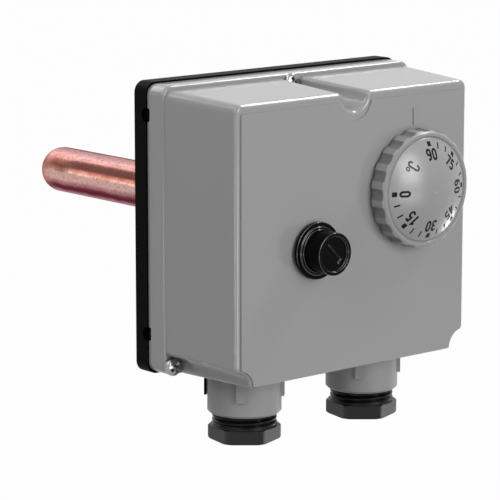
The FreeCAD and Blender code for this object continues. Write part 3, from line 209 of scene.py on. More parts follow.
make_floor()
print("floor lies", FLOOR_DROP, "m under the part")

# %% [markdown]
# ## The lamps
#
# Eight soft lamps stand round the part, as in a product studio. The one overhead makes the top of
# the case the lightest face. The front lamp gives the front its even tone and the soft shine on the
# dial's dome, and the left lamp is weaker, so the left side stays darker than the front. The edge
# lamps and the low right one stand where the rounded edges mirror them to the camera, because a
# moulded edge shows mainly by its thin highlight. The rear lamp does the same for the copper.

# %% Lamps
# Each lamp has a name, a place and a size in metres, and a power in watts.
LAMPS = [
    ("overhead", (-0.40, -0.05, 0.95), (0.8, 0.7), 1.3),
    ("upper_edges", (1.15, -0.10, 1.30), (1.35, 0.22), 18.5),
    ("front", (0.20, -1.15, 0.30), (0.5, 0.6), 7.2),
    ("upright_edges", (0.15, -1.10, -0.24), (0.6, 0.15), 1.5),
    ("left_edges", (-0.90, -0.54, -0.21), (0.40, 0.10), 0.75),
    ("left", (-0.90, -0.15, 0.75), (0.5, 0.6), 4.8),
    ("low_right", (0.652, -0.013, -0.303), (0.12, 0.12), 0.5),
    ("rear", (-0.22, 0.94, 0.72), (0.8, 0.5), 3.8),
]


def make_lamp(name, place, size, power):
    data = bpy.data.lights.new(name, "AREA")
    data.shape = "RECTANGLE"
    data.size, data.size_y = size
    data.energy = power
    lamp = bpy.data.objects.new(name, data)
    lamp.location = place
    lamp.rotation_euler = (CAMERA_AIM - lamp.location).to_track_quat("-Z", "Y").to_euler()
    bpy.context.scene.collection.objects.link(lamp)


for name, place, size, power in LAMPS:
    make_lamp(name, place, size, power)
print("lamps:", len(LAMPS))

# %% [markdown]
# ## Shared surface effects
#
# Real plastic is never one flat colour: the mould leaves a fine grain that breaks up the shine, and
# the colour drifts a little over the moulding. Metal keeps the lines of the tool, and small stains.
# Two node groups make these effects, one for the plastics and one for the metals, and each material
# only sets its own scales and strengths. Both put out a colour, a roughness and a height.

# %% Helpers for a node group


def start_group(name, inputs):
    """A shader node group with inputs (name: default). Gives its tree, its inputs and the place."""
    tree = bpy.data.node_groups.new(name, "ShaderNodeTree")
    for label, default in inputs.items():
        kind = "NodeSocketColor" if isinstance(default, tuple) else "NodeSocketFloat"
        socket = tree.interface.new_socket(label, in_out="INPUT", socket_type=kind)
        socket.default_value = default
    enter = tree.nodes.new("NodeGroupInput")
    place = tree.nodes.new("ShaderNodeTexCoord")
    return tree, enter.outputs, place.outputs["Object"]


def end_group(tree, color, roughness, height):
    kinds = {"Color": "NodeSocketColor", "Roughness": "NodeSocketFloat", "Height": "NodeSocketFloat"}
    for label, kind in kinds.items():
        tree.interface.new_socket(label, in_out="OUTPUT", socket_type=kind)
    leave = tree.nodes.new("NodeGroupOutput")
    for label, value in zip(kinds, (color, roughness, height)):
        tree.links.new(value, leave.inputs[label])
    return tree


print("group helpers ready")

# %% [markdown]
# Four more helpers add the nodes that the effects are made of: a noise, a swing about zero, a mask
# between two values and a blend of two colours.

# %% Helpers for effects


def add_noise(tree, place, scale, detail=2.0, roughness=0.5):
    node = tree.nodes.new("ShaderNodeTexNoise")
    settings = {"Vector": place, "Scale": scale, "Detail": detail, "Roughness": roughness}
    for label, value in settings.items():
        feed(tree, node.inputs[label], value)
    return node.outputs["Fac"]


def add_swing(tree, noise, reach):
    """A noise made to swing about zero."""
    return add_math(tree, "MULTIPLY", add_math(tree, "SUBTRACT", noise, 0.5), reach)


def add_range(tree, value, low, high):
    """A mask that is 0 up to low and 1 from high on."""
    node = tree.nodes.new("ShaderNodeMapRange")
    for label, number in zip(("Value", "From Min", "From Max"), (value, low, high)):
        feed(tree, node.inputs[label], number)
    return node.outputs["Result"]


def add_blend(tree, share, first, second):
    """Two colours mixed by a share."""
    node = tree.nodes.new("ShaderNodeMix")
    node.data_type = "RGBA"
    for label, value in zip(("Factor", "A", "B"), (share, first, second)):
        feed(tree, node.inputs[label], value)
    return node.outputs["Result"]


print("effect helpers ready")

# %% [markdown]
# The moulding grain is two noises. The fine one is the spark-eroded grain of the mould, less than a
# millimetre across. The broad one is the slow drift in colour over the whole moulding. The roughness
# changes with the fine one, so that highlights break up as well.

# %% The moulding grain group


def make_moulding_grain():
    tree, given, place = start_group("moulding_grain", {
        "Color": (0.5, 0.5, 0.5, 1.0), "Grain Scale": 2500.0, "Drift Scale": 30.0, "Drift": 0.06,
        "Roughness": 0.5, "Roughness Spread": 0.08})
    fine = add_noise(tree, place, given["Grain Scale"], detail=3.0, roughness=0.6)
    broad = add_noise(tree, place, given["Drift Scale"], detail=4.0)
    swings = [add_swing(tree, noise, given["Drift"]) for noise in (broad, fine)]
    tint = tree.nodes.new("ShaderNodeVectorMath")
    tint.operation = "SCALE"
    feed(tree, tint.inputs[0], given["Color"])
    feed(tree, tint.inputs["Scale"], add_math(tree, "ADD", add_math(tree, "ADD", *swings), 1.0))
    rough = add_math(tree, "ADD", add_swing(tree, fine, given["Roughness Spread"]), given["Roughness"])
    return end_group(tree, tint.outputs[0], rough, fine)


MOULDING_GRAIN = make_moulding_grain()
print("made", MOULDING_GRAIN.name)

# %% [markdown]
# Metal that was drawn or turned shows fine lines along the way the tool went, and small stains where
# it was handled. The metal group stretches a noise along one axis for the lines, and cuts a second
# noise into specks, which are duller than the metal round them.

# %% The worked metal group
STAIN_CUT = (0.48, 0.72)
STAIN_DULLNESS = 0.2


def make_worked_metal():
    tree, given, place = start_group("worked_metal", {
        "Color": (0.5, 0.5, 0.5, 1.0), "Stain Color": (0.2, 0.2, 0.2, 1.0), "Stain": 0.3,
        "Stain Scale": 220.0, "Line Scale": 4000.0, "Line Length": 40.0, "Roughness": 0.3,
        "Roughness Spread": 0.15})
    stretch = tree.nodes.new("ShaderNodeVectorMath")
    stretch.operation = "MULTIPLY"
    sides = tree.nodes.new("ShaderNodeCombineXYZ")
    lengthwise = add_math(tree, "DIVIDE", 1.0, given["Line Length"])
    for label, value in zip("XYZ", (1.0, lengthwise, 1.0)):
        feed(tree, sides.inputs[label], value)
    feed(tree, stretch.inputs[0], place)
    feed(tree, stretch.inputs[1], sides.outputs[0])
    lines = add_noise(tree, stretch.outputs[0], given["Line Scale"])
    stains = add_noise(tree, place, given["Stain Scale"], detail=6.0, roughness=0.7)
    mask = add_math(tree, "MULTIPLY", add_range(tree, stains, *STAIN_CUT), given["Stain"])
    color = add_blend(tree, mask, given["Color"], given["Stain Color"])
    rough = add_math(tree, "ADD", add_swing(tree, lines, given["Roughness Spread"]), given["Roughness"])
    rough = add_math(tree, "ADD", rough, add_math(tree, "MULTIPLY", mask, STAIN_DULLNESS))
    return end_group(tree, color, rough, lines)


WORKED_METAL = make_worked_metal()
print("made", WORKED_METAL.name)

# %% [markdown]
# ## Materials
#
# Every material is one Principled shader fed by one of the two groups, with a Bump node for the
# grain. Colours are linear values. The grey case is a mid grey that the overhead lamp lifts on top.

# %% A helper that makes a material from a group
GRAIN_DEPTH = 0.05 * MM
COARSE_GRAIN_DEPTH = 0.1 * MM


def make_material(name, group, settings, bump=0.1, depth=GRAIN_DEPTH, **plain):
    """A Principled material. settings are the group's inputs, plain are the shader's own sockets."""
    material = bpy.data.materials.new(name)
    material.use_nodes = True
    tree = material.node_tree
    shader = tree.nodes["Principled BSDF"]
    effect = tree.nodes.new("ShaderNodeGroup")
    effect.name = "effect"
    effect.node_tree = group
    for label, value in settings.items():
        effect.inputs[label].default_value = (*value, 1.0) if isinstance(value, tuple) else value
    tree.links.new(effect.outputs["Color"], shader.inputs["Base Color"])
    tree.links.new(effect.outputs["Roughness"], shader.inputs["Roughness"])
    relief = tree.nodes.new("ShaderNodeBump")
    relief.inputs["Strength"].default_value = bump
    relief.inputs["Distance"].default_value = depth
    tree.links.new(effect.outputs["Height"], relief.inputs["Height"])
    tree.links.new(relief.outputs["Normal"], shader.inputs["Normal"])
    for label, value in plain.items():
        shader.inputs[label.replace("_", " ")].default_value = value
    return material


print("material helper ready")

# %% [markdown]
# The grey mouldings come first. The cover is a satin grey with a soft shine, the cable sockets are
# the same grey but matt, and the dial is a little darker.

# %% Grey plastics
GREY = (0.285, 0.285, 0.29)
DIAL_GREY = (0.262, 0.262, 0.267)

MATERIALS = {
    "grey_moulding": make_material(
        "satin_grey_plastic", MOULDING_GRAIN,
        {"Color": GREY, "Grain Scale": 2600.0, "Drift": 0.05, "Roughness": 0.17,
         "Roughness Spread": 0.06}, bump=0.03, Specular_IOR_Level=0.5),
    "socket_plastic": make_material(
        "matt_grey_plastic", MOULDING_GRAIN,
        {"Color": GREY, "Grain Scale": 2600.0, "Drift": 0.06, "Roughness": 0.5}, bump=0.06,
        Specular_IOR_Level=0.3),
    "dial_plastic": make_material(
        "dial_grey_plastic", MOULDING_GRAIN,
        {"Color": DIAL_GREY, "Grain Scale": 3000.0, "Drift": 0.04, "Roughness": 0.28,
         "Roughness Spread": 0.05}, bump=0.05, Specular_IOR_Level=0.62),
}
print("grey plastics:", len(MATERIALS))

# %% [markdown]
# The base is black with a coarse grain. The reset cap is a smooth glossy black, with polished edges
# that catch the light. The gland nuts are black with a weaker grain, and their threads are a darker
# black as painted shade, because the threads lie in the shade under the sockets.

# %% Black plastics
BLACK = (0.0022, 0.0022, 0.0022)
CAP_BLACK = (0.003, 0.003, 0.003)

MATERIALS.update({
    "black_moulding": make_material(
        "grained_black_plastic", MOULDING_GRAIN,
        {"Color": BLACK, "Grain Scale": 1400.0, "Drift": 2.2, "Roughness": 0.45,
         "Roughness Spread": 0.25}, bump=0.6, depth=COARSE_GRAIN_DEPTH, Specular_IOR_Level=0.02),
    "cap_plastic": make_material(
        "glossy_black_plastic", MOULDING_GRAIN,
        {"Color": CAP_BLACK, "Grain Scale": 1500.0, "Drift": 0.3, "Roughness": 0.22,
         "Roughness Spread": 0.08}, bump=0.05, Specular_IOR_Level=0.03),
    "cap_edge": make_material(
        "polished_black_edge", MOULDING_GRAIN,
        {"Color": CAP_BLACK, "Grain Scale": 1500.0, "Drift": 0.3, "Roughness": 0.14,
         "Roughness Spread": 0.05}, bump=0.03, Specular_IOR_Level=0.85),
    "gland_plastic": make_material(
        "gland_black_plastic", MOULDING_GRAIN,
        {"Color": (0.007, 0.007, 0.007), "Grain Scale": 1300.0, "Drift": 0.5, "Roughness": 0.38,
         "Roughness Spread": 0.2}, bump=0.15, Specular_IOR_Level=0.25),
    # The threads' darker black is painted shade.
    "thread_plastic": make_material(
        "black_thread_painted_shade", MOULDING_GRAIN,
        {"Color": (0.004, 0.004, 0.004), "Grain Scale": 1300.0, "Drift": 0.5, "Roughness": 0.30,
         "Roughness Spread": 0.1}, bump=0.08, Specular_IOR_Level=0.12),
})
print("plastics:", len(MATERIALS))

# %% [markdown]
# The switches inside are a brown thermoset, the reset button is red and the seals are rubber. The
# dial is printed in black, and its unit sign in grey.

# %% Hidden plastics, rubber and ink
MATERIALS.update({
    "switch_plastic": make_material(
        "switch_brown_plastic", MOULDING_GRAIN,
        {"Color": (0.03, 0.025, 0.022), "Grain Scale": 1200.0, "Drift": 0.4, "Roughness": 0.4}, bump=0.2),
    "button_plastic": make_material(
        "button_red_plastic", MOULDING_GRAIN,
        {"Color": (0.45, 0.03, 0.025), "Grain Scale": 2500.0, "Drift": 0.1, "Roughness": 0.3}, bump=0.05),
    "seal_rubber": make_material(
        "seal_black_rubber", MOULDING_GRAIN,
        {"Color": (0.02, 0.02, 0.02), "Grain Scale": 1600.0, "Drift": 0.3, "Roughness": 0.75}, bump=0.2),
    "print_black": make_material(
        "black_print", MOULDING_GRAIN,
        {"Color": (0.006, 0.006, 0.006), "Grain Scale": 3000.0, "Drift": 0.3, "Roughness": 0.5},
        bump=0.05, Specular_IOR_Level=0.1),
    "print_grey": make_material(
        "grey_print", MOULDING_GRAIN,
        {"Color": (0.09, 0.09, 0.09), "Grain Scale": 3000.0, "Drift": 0.3, "Roughness": 0.5},
        bump=0.05, Specular_IOR_Level=0.1),
})
print("plastics, rubber and ink:", len(MATERIALS))

# %% [markdown]
# The metals follow. The copper pocket was drawn and pickled, which leaves a pink satin skin with fine
# darker specks. Its colour comes from the bands of painted reflection and shade in the next step. The
# nipple is turned brass, and the screws and sheet are zinc-plated steel.

# %% Metals
MATERIALS.update({
    "copper": make_material(
        "drawn_copper", WORKED_METAL,
        {"Color": (0.55, 0.29, 0.24), "Stain Color": (0.16, 0.05, 0.05), "Stain": 0.5,
         "Stain Scale": 900.0, "Roughness": 0.36, "Roughness Spread": 0.2}, bump=0.12, Metallic=1.0),
    "pocket_copper": make_material(
        "pickled_copper_painted_light", WORKED_METAL,
        {"Stain Color": (0.13, 0.03, 0.03), "Stain": 0.75, "Stain Scale": 1300.0, "Roughness": 0.42,
         "Roughness Spread": 0.2}, bump=0.15, Metallic=1.0, Specular_Tint=(0.62, 0.38, 0.41, 1.0)),
    "brass": make_material(
        "turned_brass", WORKED_METAL,
        {"Color": (0.80, 0.60, 0.28), "Stain Color": (0.40, 0.26, 0.10), "Stain": 0.3,
         "Stain Scale": 300.0, "Line Length": 0.05, "Roughness": 0.25}, bump=0.10, Metallic=1.0),
    "plain_steel": make_material(
        "zinc_plated_sheet", WORKED_METAL,
        {"Color": (0.62, 0.62, 0.60), "Stain Color": (0.40, 0.40, 0.38), "Stain": 0.4,
         "Stain Scale": 120.0, "Roughness": 0.38}, bump=0.08, Metallic=1.0),
    # The screws' steel is darker than the sheet's, as a painted reflection of dark surroundings.
    "screw_steel": make_material(
        "zinc_plated_screw", WORKED_METAL,
        {"Color": (0.30, 0.30, 0.29), "Stain Color": (0.12, 0.12, 0.11), "Stain": 0.4,
         "Stain Scale": 700.0, "Roughness": 0.21}, bump=0.08, Metallic=1.0),
})
print("materials:", len(MATERIALS))

# %% [markdown]
# The lighter and darker bands along the copper pocket are painted reflections and painted shade. A
# colour ramp is laid round the pocket by the angle about its axis. Its light bands are painted
# highlights and reflections, and its dark ones are painted shade and dark reflections: in the groove,
# along the lower side and as an outline along the top. A little noise makes the bands waver. They
# fade out on the rounded tip. The shader's own Specular Tint makes the outline dusky, as on tarnished
# copper.

# %% Painted reflections and shade on the copper pocket
WAVER_SCALE = 160.0
WAVER_REACH = 0.3
TIP_FADE = (89 * MM, 99 * MM)
PLAIN_COPPER = (0.55, 0.30, 0.265)
# Each band of painted reflection and shade has an angle in degrees from the pocket's left side up,
# and a colour.
STREAKS = [(-90, PLAIN_COPPER), (-66, (0.60, 0.45, 0.48)), (-54, (0.50, 0.34, 0.37)),
           (-46, (0.25, 0.10, 0.12)), (-38, (0.11, 0.030, 0.042)), (-30, (0.16, 0.050, 0.060)),
           (-20, (0.42, 0.21, 0.22)), (-8, (0.68, 0.42, 0.40)), (4, (0.61, 0.41, 0.35)),
           (14, (0.36, 0.17, 0.13)), (22, (0.17, 0.065, 0.048)), (36, (0.20, 0.088, 0.070)),
           (48, (0.42, 0.22, 0.195)), (60, (0.53, 0.33, 0.32)), (78, (0.58, 0.39, 0.37)),
           (84, (0.50, 0.32, 0.30)), (93, (0.13, 0.045, 0.050)), (108, (0.13, 0.045, 0.050)),
           (125, PLAIN_COPPER)]
STREAK_FIRST, STREAK_LAST = STREAKS[0][0], STREAKS[-1][0]


# Paints the bands of reflection and shade into the pocket copper's colour.
def add_streaks(material):
    tree = material.node_tree
    place = tree.nodes.new("ShaderNodeTexCoord").outputs["Object"]
    sides = tree.nodes.new("ShaderNodeSeparateXYZ")
    feed(tree, sides.inputs[0], place)
    left = add_math(tree, "MULTIPLY", sides.outputs["X"], -1.0)
    turn = add_math(tree, "ARCTAN2", sides.outputs["Z"], left)
    waver = add_swing(tree, add_noise(tree, place, WAVER_SCALE, detail=3.0), WAVER_REACH)
    ramp = tree.nodes.new("ShaderNodeValToRGB")
    ramp.color_ramp.interpolation = "EASE"
    while len(ramp.color_ramp.elements) < len(STREAKS):
        ramp.color_ramp.elements.new(0.5)
    for element, (angle, color) in zip(ramp.color_ramp.elements, STREAKS):
        element.position = (angle - STREAK_FIRST) / (STREAK_LAST - STREAK_FIRST)
        element.color = (*color, 1.0)
    round_pocket = add_range(tree, add_math(tree, "ADD", turn, waver),
                             math.radians(STREAK_FIRST), math.radians(STREAK_LAST))
    feed(tree, ramp.inputs["Fac"], round_pocket)
    tip = add_range(tree, sides.outputs["Y"], *TIP_FADE)
    color = add_blend(tree, tip, ramp.outputs["Color"], (*PLAIN_COPPER, 1.0))
    feed(tree, tree.nodes["effect"].inputs["Color"], color)


add_streaks(MATERIALS["pocket_copper"])
print("streaks:", len(STREAKS))

# %% [markdown]
# Each solid takes the material of its slot in the record, apart from the cable sockets, which are
# matt. The solids stay as the CAD model made them, so only their surfaces are set here.

# %% Dress the solids
slots = {part["node"]: part["material_slot"] for part in frame["record"]["subparts"]}
for node, piece in frame["nodes"].items():
    piece.data.materials.clear()
    matt = node.startswith("cable_socket")
    piece.data.materials.append(MATERIALS["socket_plastic" if matt else slots[node]])
print("dressed:", len(slots), "solids")

# %% [markdown]
# ## Turned and threaded pieces
#
# Threads and hexagons are round shapes whose radius changes with the angle, so they are built ring by
# ring. Faces are stitched between the rings, and soft shading between faces that meet at less than
# 30 degrees lets the curves catch the light as curves.

# %% Helpers for rings and faces
SMOOTH_UNDER = math.radians(30)


def stitch(mesh, pairs, steps):
    """Faces between each pair of rings. A ring of one point closes the end of a piece."""
    for low, high in pairs:
        for step in range(steps):
            after = (step + 1) % steps
            corners = [low[step % len(low)], low[after % len(low)],
                       high[after % len(high)], high[step % len(high)]]
            mesh.faces.new(list(dict.fromkeys(corners)))


def finish_piece(name, mesh):
    bmesh.ops.recalc_face_normals(mesh, faces=mesh.faces)
    data = bpy.data.meshes.new(name)
    mesh.to_mesh(data)
    mesh.free()
    data.polygons.foreach_set("use_smooth", [True] * len(data.polygons))
    data.set_sharp_from_angle(angle=SMOOTH_UNDER)
    piece = bpy.data.objects.new(name, data)
    bpy.context.scene.collection.objects.link(piece)
    return piece


print("soft shading under", round(math.degrees(SMOOTH_UNDER)), "degrees")

# %% [markdown]
# One function makes all turned pieces: it walks down a profile, and asks a second function for the
# radius at each angle. A second helper gives a piece its material and the body it rides on.

# %% Helpers for turned pieces
# For each axis, the two directions across it and the direction along it.
SIDEWAYS = {"+Y": (Vector((0, 0, 1)), Vector((1, 0, 0)), Vector((0, 1, 0))),
            "-Y": (Vector((1, 0, 0)), Vector((0, 0, 1)), Vector((0, -1, 0))),
            "-Z": (Vector((1, 0, 0)), Vector((0, -1, 0)), Vector((0, 0, -1)))}


def turned_piece(name, centre, axis, profile, steps, shape=None, first_angle=0.0):
    """A closed piece round an axis. The profile is a list of (radius, distance along the axis)."""
    across, up, along = SIDEWAYS[axis]
    angles = [first_angle + 2 * math.pi * step / steps for step in range(steps)]
    spokes = [across * math.cos(angle) + up * math.sin(angle) for angle in angles]
    mesh = bmesh.new()
    rows = []
    for radius, distance in profile:
        middle = centre + along * distance
        if radius == 0:
            rows.append([mesh.verts.new(middle)])
            continue
        reaches = [shape(radius, distance, angle) if shape else radius for angle in angles]
        rows.append([mesh.verts.new(middle + spoke * reach) for spoke, reach in zip(spokes, reaches)])
    pairs = list(zip(rows, rows[1:]))
    if len(rows[0]) > 1:
        pairs.append((rows[-1], rows[0]))
    stitch(mesh, pairs, steps)
    return finish_piece(name, mesh)


def dress(piece, material, body):
    piece.data.materials.append(MATERIALS[material])
    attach(piece, body)
    return piece


print("turning helpers ready")

# %% [markdown]
# No moulded or turned edge is quite sharp. A small curve at each corner of a profile gives the edge
# its thin highlight. The curve is drawn by blending points twice, the way a pen tool draws one.

# %% Helpers for profiles


def round_corners(profile, radius, points=4):
    """The profile with each corner turned into a short curve."""
    soft = [profile[0]]
    for before, corner, after in zip(profile, profile[1:], profile[2:]):
        here = Vector(corner)
        back, ahead = Vector(before) - here, Vector(after) - here
        if here.x == 0 or back.length < radius / 4 or ahead.length < radius / 4:
            soft.append(corner)
            continue
        start = here + back * min(radius / back.length, 0.5)
        end = here + ahead * min(radius / ahead.length, 0.5)
        for index in range(points + 1):
            share = index / points
            soft.append(tuple(start.lerp(here, share).lerp(here.lerp(end, share), share)))
    return soft + [profile[-1]]


def spaced(start, end, step):
    """Distances from start to end, no more than a step apart."""
    count = max(1, math.ceil(abs(end - start) / step))
    return [start + (end - start) * index / count for index in range(count + 1)]


print("profile helpers ready")

# %% [markdown]
# A thread is a triangle wave wound round the axis, cut off at the crests and faded out at its ends.
# A hexagon is the smaller of the turned radius and the distance to the nearest flat, which gives the
# curved chamfers of a real nut by itself. A nut has both shapes, one after the other.

# %% Thread and hexagon shapes
WAVE_TALL = 1.5
ROWS_PER_TURN = 12


def thread_shape(pitch, depth, start, end):
    """Radius of a right-hand thread between two distances along the axis."""
    def shape(radius, distance, angle):
        if not start < distance < end:
            return radius
        turn = (distance / pitch - angle / (2 * math.pi)) % 1.0
        wave = min(WAVE_TALL * (1 - abs(2 * turn - 1)), 1.0)
        fade = min(1.0, (distance - start) / pitch, (end - distance) / pitch)
        return radius - depth * (1 - wave) * fade
    return shape


def hexagon_shape(flats, turn, start, end):
    """Radius limited by six flats between two distances along the axis."""
    def shape(radius, distance, angle):
        if not start <= distance <= end:
            return radius
        from_flat = (angle - turn) % math.radians(60) - math.radians(30)
        return min(radius, flats / 2 / math.cos(from_flat))
    return shape


def both_shapes(first, second):
    return lambda radius, distance, angle: second(first(radius, distance, angle), distance, angle)


print("thread and hexagon ready")

# %% [markdown]
# ## Gland nuts
#
# Each gland nut is one moulding with an M20 thread, of which about three ridges show under the
# socket, and a hexagon with chamfered corners. The nut keeps the place and height of its solid.

# %% Gland nuts
NUT_FLATS = 19.6 * MM
NUT_PITCH = 1.5 * MM
NUT_THREAD_DEPTH = 0.75 * MM
NUT_SHANK = 9.95 * MM
NUT_BORE = 6.4 * MM
NUT_HEAD = 4.4 * MM
NUT_TURN = math.radians(19.5)
NUT_CHAMFER = 0.5 * MM
NUT_CORNER_CUT = 0.1 * MM
NUT_THREAD_START = 0.2 * MM
NUT_THREAD_STOP = 0.3 * MM
NUT_STEPS = 120
EDGE = 0.25 * MM
# A hair's breadth keeps the ring at the shoulder out of the hexagon.
HAIR = 0.01 * MM


def make_gland_nut(side):
    low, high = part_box("gland_nut_" + side)
    centre = Vector(((low[0] + high[0]) / 2, (low[1] + high[1]) / 2, high[2]))
    length = high[2] - low[2]
    shank = length - NUT_HEAD
    thread_end = shank - NUT_THREAD_STOP
    corner = NUT_FLATS / 2 / math.cos(math.radians(30)) - NUT_CORNER_CUT
    head = [(NUT_SHANK, thread_end), (NUT_SHANK, shank), (corner - NUT_CHAMFER, shank),
            (corner, shank + NUT_CHAMFER / 2), (corner, length - NUT_CHAMFER / 2),
            (corner - NUT_CHAMFER, length), (NUT_BORE, length), (NUT_BORE, 0),
            (NUT_SHANK - NUT_CHAMFER, 0), (NUT_SHANK, NUT_CHAMFER)]
    threaded = spaced(NUT_CHAMFER, thread_end, NUT_PITCH / ROWS_PER_TURN)[1:-1]
    profile = round_corners(head, EDGE) + [(NUT_SHANK, distance) for distance in threaded]
    thread = thread_shape(NUT_PITCH, NUT_THREAD_DEPTH, NUT_THREAD_START, thread_end)
    hexagon = hexagon_shape(NUT_FLATS, -NUT_TURN, shank + HAIR, length)
    nut = turned_piece("threaded_nut_" + side, centre, "-Z", profile, NUT_STEPS,
                       both_shapes(thread, hexagon), -NUT_TURN)
    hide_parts("gland_nut_" + side)
    dress(nut, "gland_plastic", "gland_" + side)
    nut.data.materials.append(MATERIALS["thread_plastic"])
    # Faces of the thread take the darker black, which is painted shade.
    for face in nut.data.polygons:
        face.material_index = 1 if centre.z - face.center.z < thread_end else 0
    return nut


nuts = [make_gland_nut(side) for side in ("left", "right")]
print("nut faces:", [len(nut.data.polygons) for nut in nuts])

# %% [markdown]
# ## The brass nipple
#
# The nipple is turned from hexagon bar: a G1/2 thread for the tank, a seating collar, the hexagon
# for the spanner and a spigot through the base. It is out of sight behind the case in the photograph,
# and shows from other sides.

# %% Brass nipple
NIPPLE_FLATS = 26.0 * MM
NIPPLE_PITCH = 1.814 * MM
NIPPLE_THREAD_DEPTH = 1.0 * MM
NIPPLE_THREAD = 10.4775 * MM
NIPPLE_COLLAR = 13.5 * MM
NIPPLE_BORE = 5.9 * MM
NIPPLE_SEAT = 7.65 * MM
NIPPLE_SPIGOT = 9.0 * MM
NIPPLE_SHOULDER = 12.7 * MM
NIPPLE_CHAMFER = 0.6 * MM
NIPPLE_THREAD_START = 0.4 * MM
# How far behind the seating face the shoulder, the hexagon, the collar and the pocket's seat begin.
SHOULDER_BEHIND = 11.3 * MM
HEXAGON_BEHIND = 9.8 * MM
COLLAR_BEHIND = 1.5 * MM
SEAT_BEHIND = 6.0 * MM
# The hexagon's chamfer: its height for each millimetre of radius, its length and its rows.
CHAMFER_LEAN = 0.5
CHAMFER_LONG = 1.2 * MM
CHAMFER_ROW = 0.3 * MM
HEXAGON_ROW = 2.0 * MM


def make_nipple():
    low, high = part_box("brass_nipple")
    centre = Vector((0, low[1], 0))
    length = high[1] - low[1]
    face = -low[1]
    shoulder = face - SHOULDER_BEHIND
    hexagon = face - HEXAGON_BEHIND
    collar = face - COLLAR_BEHIND
    seat = face - SEAT_BEHIND
    corner = NIPPLE_FLATS / 2 / math.cos(math.radians(30))
    profile = [(NIPPLE_BORE, 0), (NIPPLE_SPIGOT, 0), (NIPPLE_SPIGOT, shoulder),
               (NIPPLE_SHOULDER, shoulder), (NIPPLE_SHOULDER, hexagon)]
    profile += [(NIPPLE_SHOULDER + rise, hexagon + rise * CHAMFER_LEAN)
                for rise in spaced(CHAMFER_ROW, corner - NIPPLE_SHOULDER, CHAMFER_ROW)]
    profile += [(corner, distance) for distance in spaced(hexagon + CHAMFER_LONG, collar, HEXAGON_ROW)]
    profile += [(NIPPLE_COLLAR, collar), (NIPPLE_COLLAR, face), (NIPPLE_THREAD, face)]
    threaded = spaced(face, length - NIPPLE_CHAMFER, NIPPLE_PITCH / ROWS_PER_TURN)[1:]
    profile += [(NIPPLE_THREAD, distance) for distance in threaded]
    profile += [(NIPPLE_THREAD - NIPPLE_CHAMFER, length), (NIPPLE_SEAT, length), (NIPPLE_SEAT, seat),
                (NIPPLE_BORE, seat)]
    thread = thread_shape(NIPPLE_PITCH, NIPPLE_THREAD_DEPTH, face + NIPPLE_THREAD_START,
                          length - NIPPLE_CHAMFER / 2)
    flats = hexagon_shape(NIPPLE_FLATS, 0.0, hexagon, collar)
    nipple = turned_piece("threaded_nipple", centre, "+Y", profile, NUT_STEPS, both_shapes(thread, flats))
    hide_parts("brass_nipple")
    return dress(nipple, "brass", "housing")


nipple = make_nipple()
print("nipple faces:", len(nipple.data.polygons))

# %% [markdown]
# ## The reset neck
#
# The neck under the cap has an M10 thread of 1 mm pitch. It shows when the cap is off.

# %% Reset neck
NECK_PITCH = 1.0 * MM
NECK_THREAD_DEPTH = 0.5 * MM
NECK_BORE = 2.55 * MM
NECK_PLAIN = 6.0 * MM
NECK_EDGE = 0.4 * MM
NECK_STEPS = 96


def make_neck():
    low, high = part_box("reset_neck")
    radius = (high[0] - low[0]) / 2
    centre = Vector(((low[0] + high[0]) / 2, high[1], (low[2] + high[2]) / 2))
    length = high[1] - low[1]
    threaded = spaced(NECK_PLAIN, length - NECK_EDGE, NECK_PITCH / ROWS_PER_TURN)
    profile = [(NECK_BORE, 0), (radius, 0)] + [(radius, distance) for distance in threaded]
    profile += [(radius - NECK_EDGE, length), (NECK_BORE + NECK_EDGE / 2, length),
                (NECK_BORE, length - NECK_EDGE / 2)]
    thread = thread_shape(NECK_PITCH, NECK_THREAD_DEPTH, NECK_PLAIN, length - NECK_EDGE / 2)
    neck = turned_piece("threaded_neck", centre, "-Y", profile, NECK_STEPS, thread)
    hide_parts("reset_neck")
    return dress(neck, "plain_steel", "housing")


neck = make_neck()
print("neck faces:", len(neck.data.polygons))

# %% [markdown]
# ## Cover screws
#
# The cover screws have domed heads with a cross recess. The recess is pressed into the head's rings:
# each point sinks by how far it lies inside one of the two slots, and less towards the slots' ends.

# %% Cross recess
SLOT_HALF = 0.5 * MM
SLOT_REACH = 1.9 * MM
SLOT_DEPTH = 1.1 * MM
SLOT_WALL = 0.15 * MM
SLOT_END = 2.2


def cross_depth(x, z):
    """Depth of the cross recess at a place on the head."""
    deepest = 0.0
    for across, along in ((x, z), (z, x)):
        wall = min(max((SLOT_HALF - abs(across)) / SLOT_WALL + 0.5, 0.0), 1.0)
        reach = min(max(1 - abs(along) / SLOT_REACH, 0.0) * SLOT_END, 1.0)
        deepest = max(deepest, wall * reach * SLOT_DEPTH)
    return deepest


print("recess:", round(cross_depth(0, 0) / MM, 2), "mm deep in the middle")

# %% [markdown]
# The screw itself is a pointed shank and a head of close rings, so that the recess has points enough
# to keep its edges. Each screw was driven home at its own angle, so no two crosses stand alike.

# %% Cover screws
SHANK = 1.5 * MM
SHANK_TIP = 0.9 * MM
SHANK_POINT = 0.5 * MM
HEAD_TALL = 2.0 * MM
HEAD_RIM = 1.0 * MM
HEAD_DOME = 0.9 * MM
RING_STEP = 0.1 * MM
SCREW_STEPS = 96


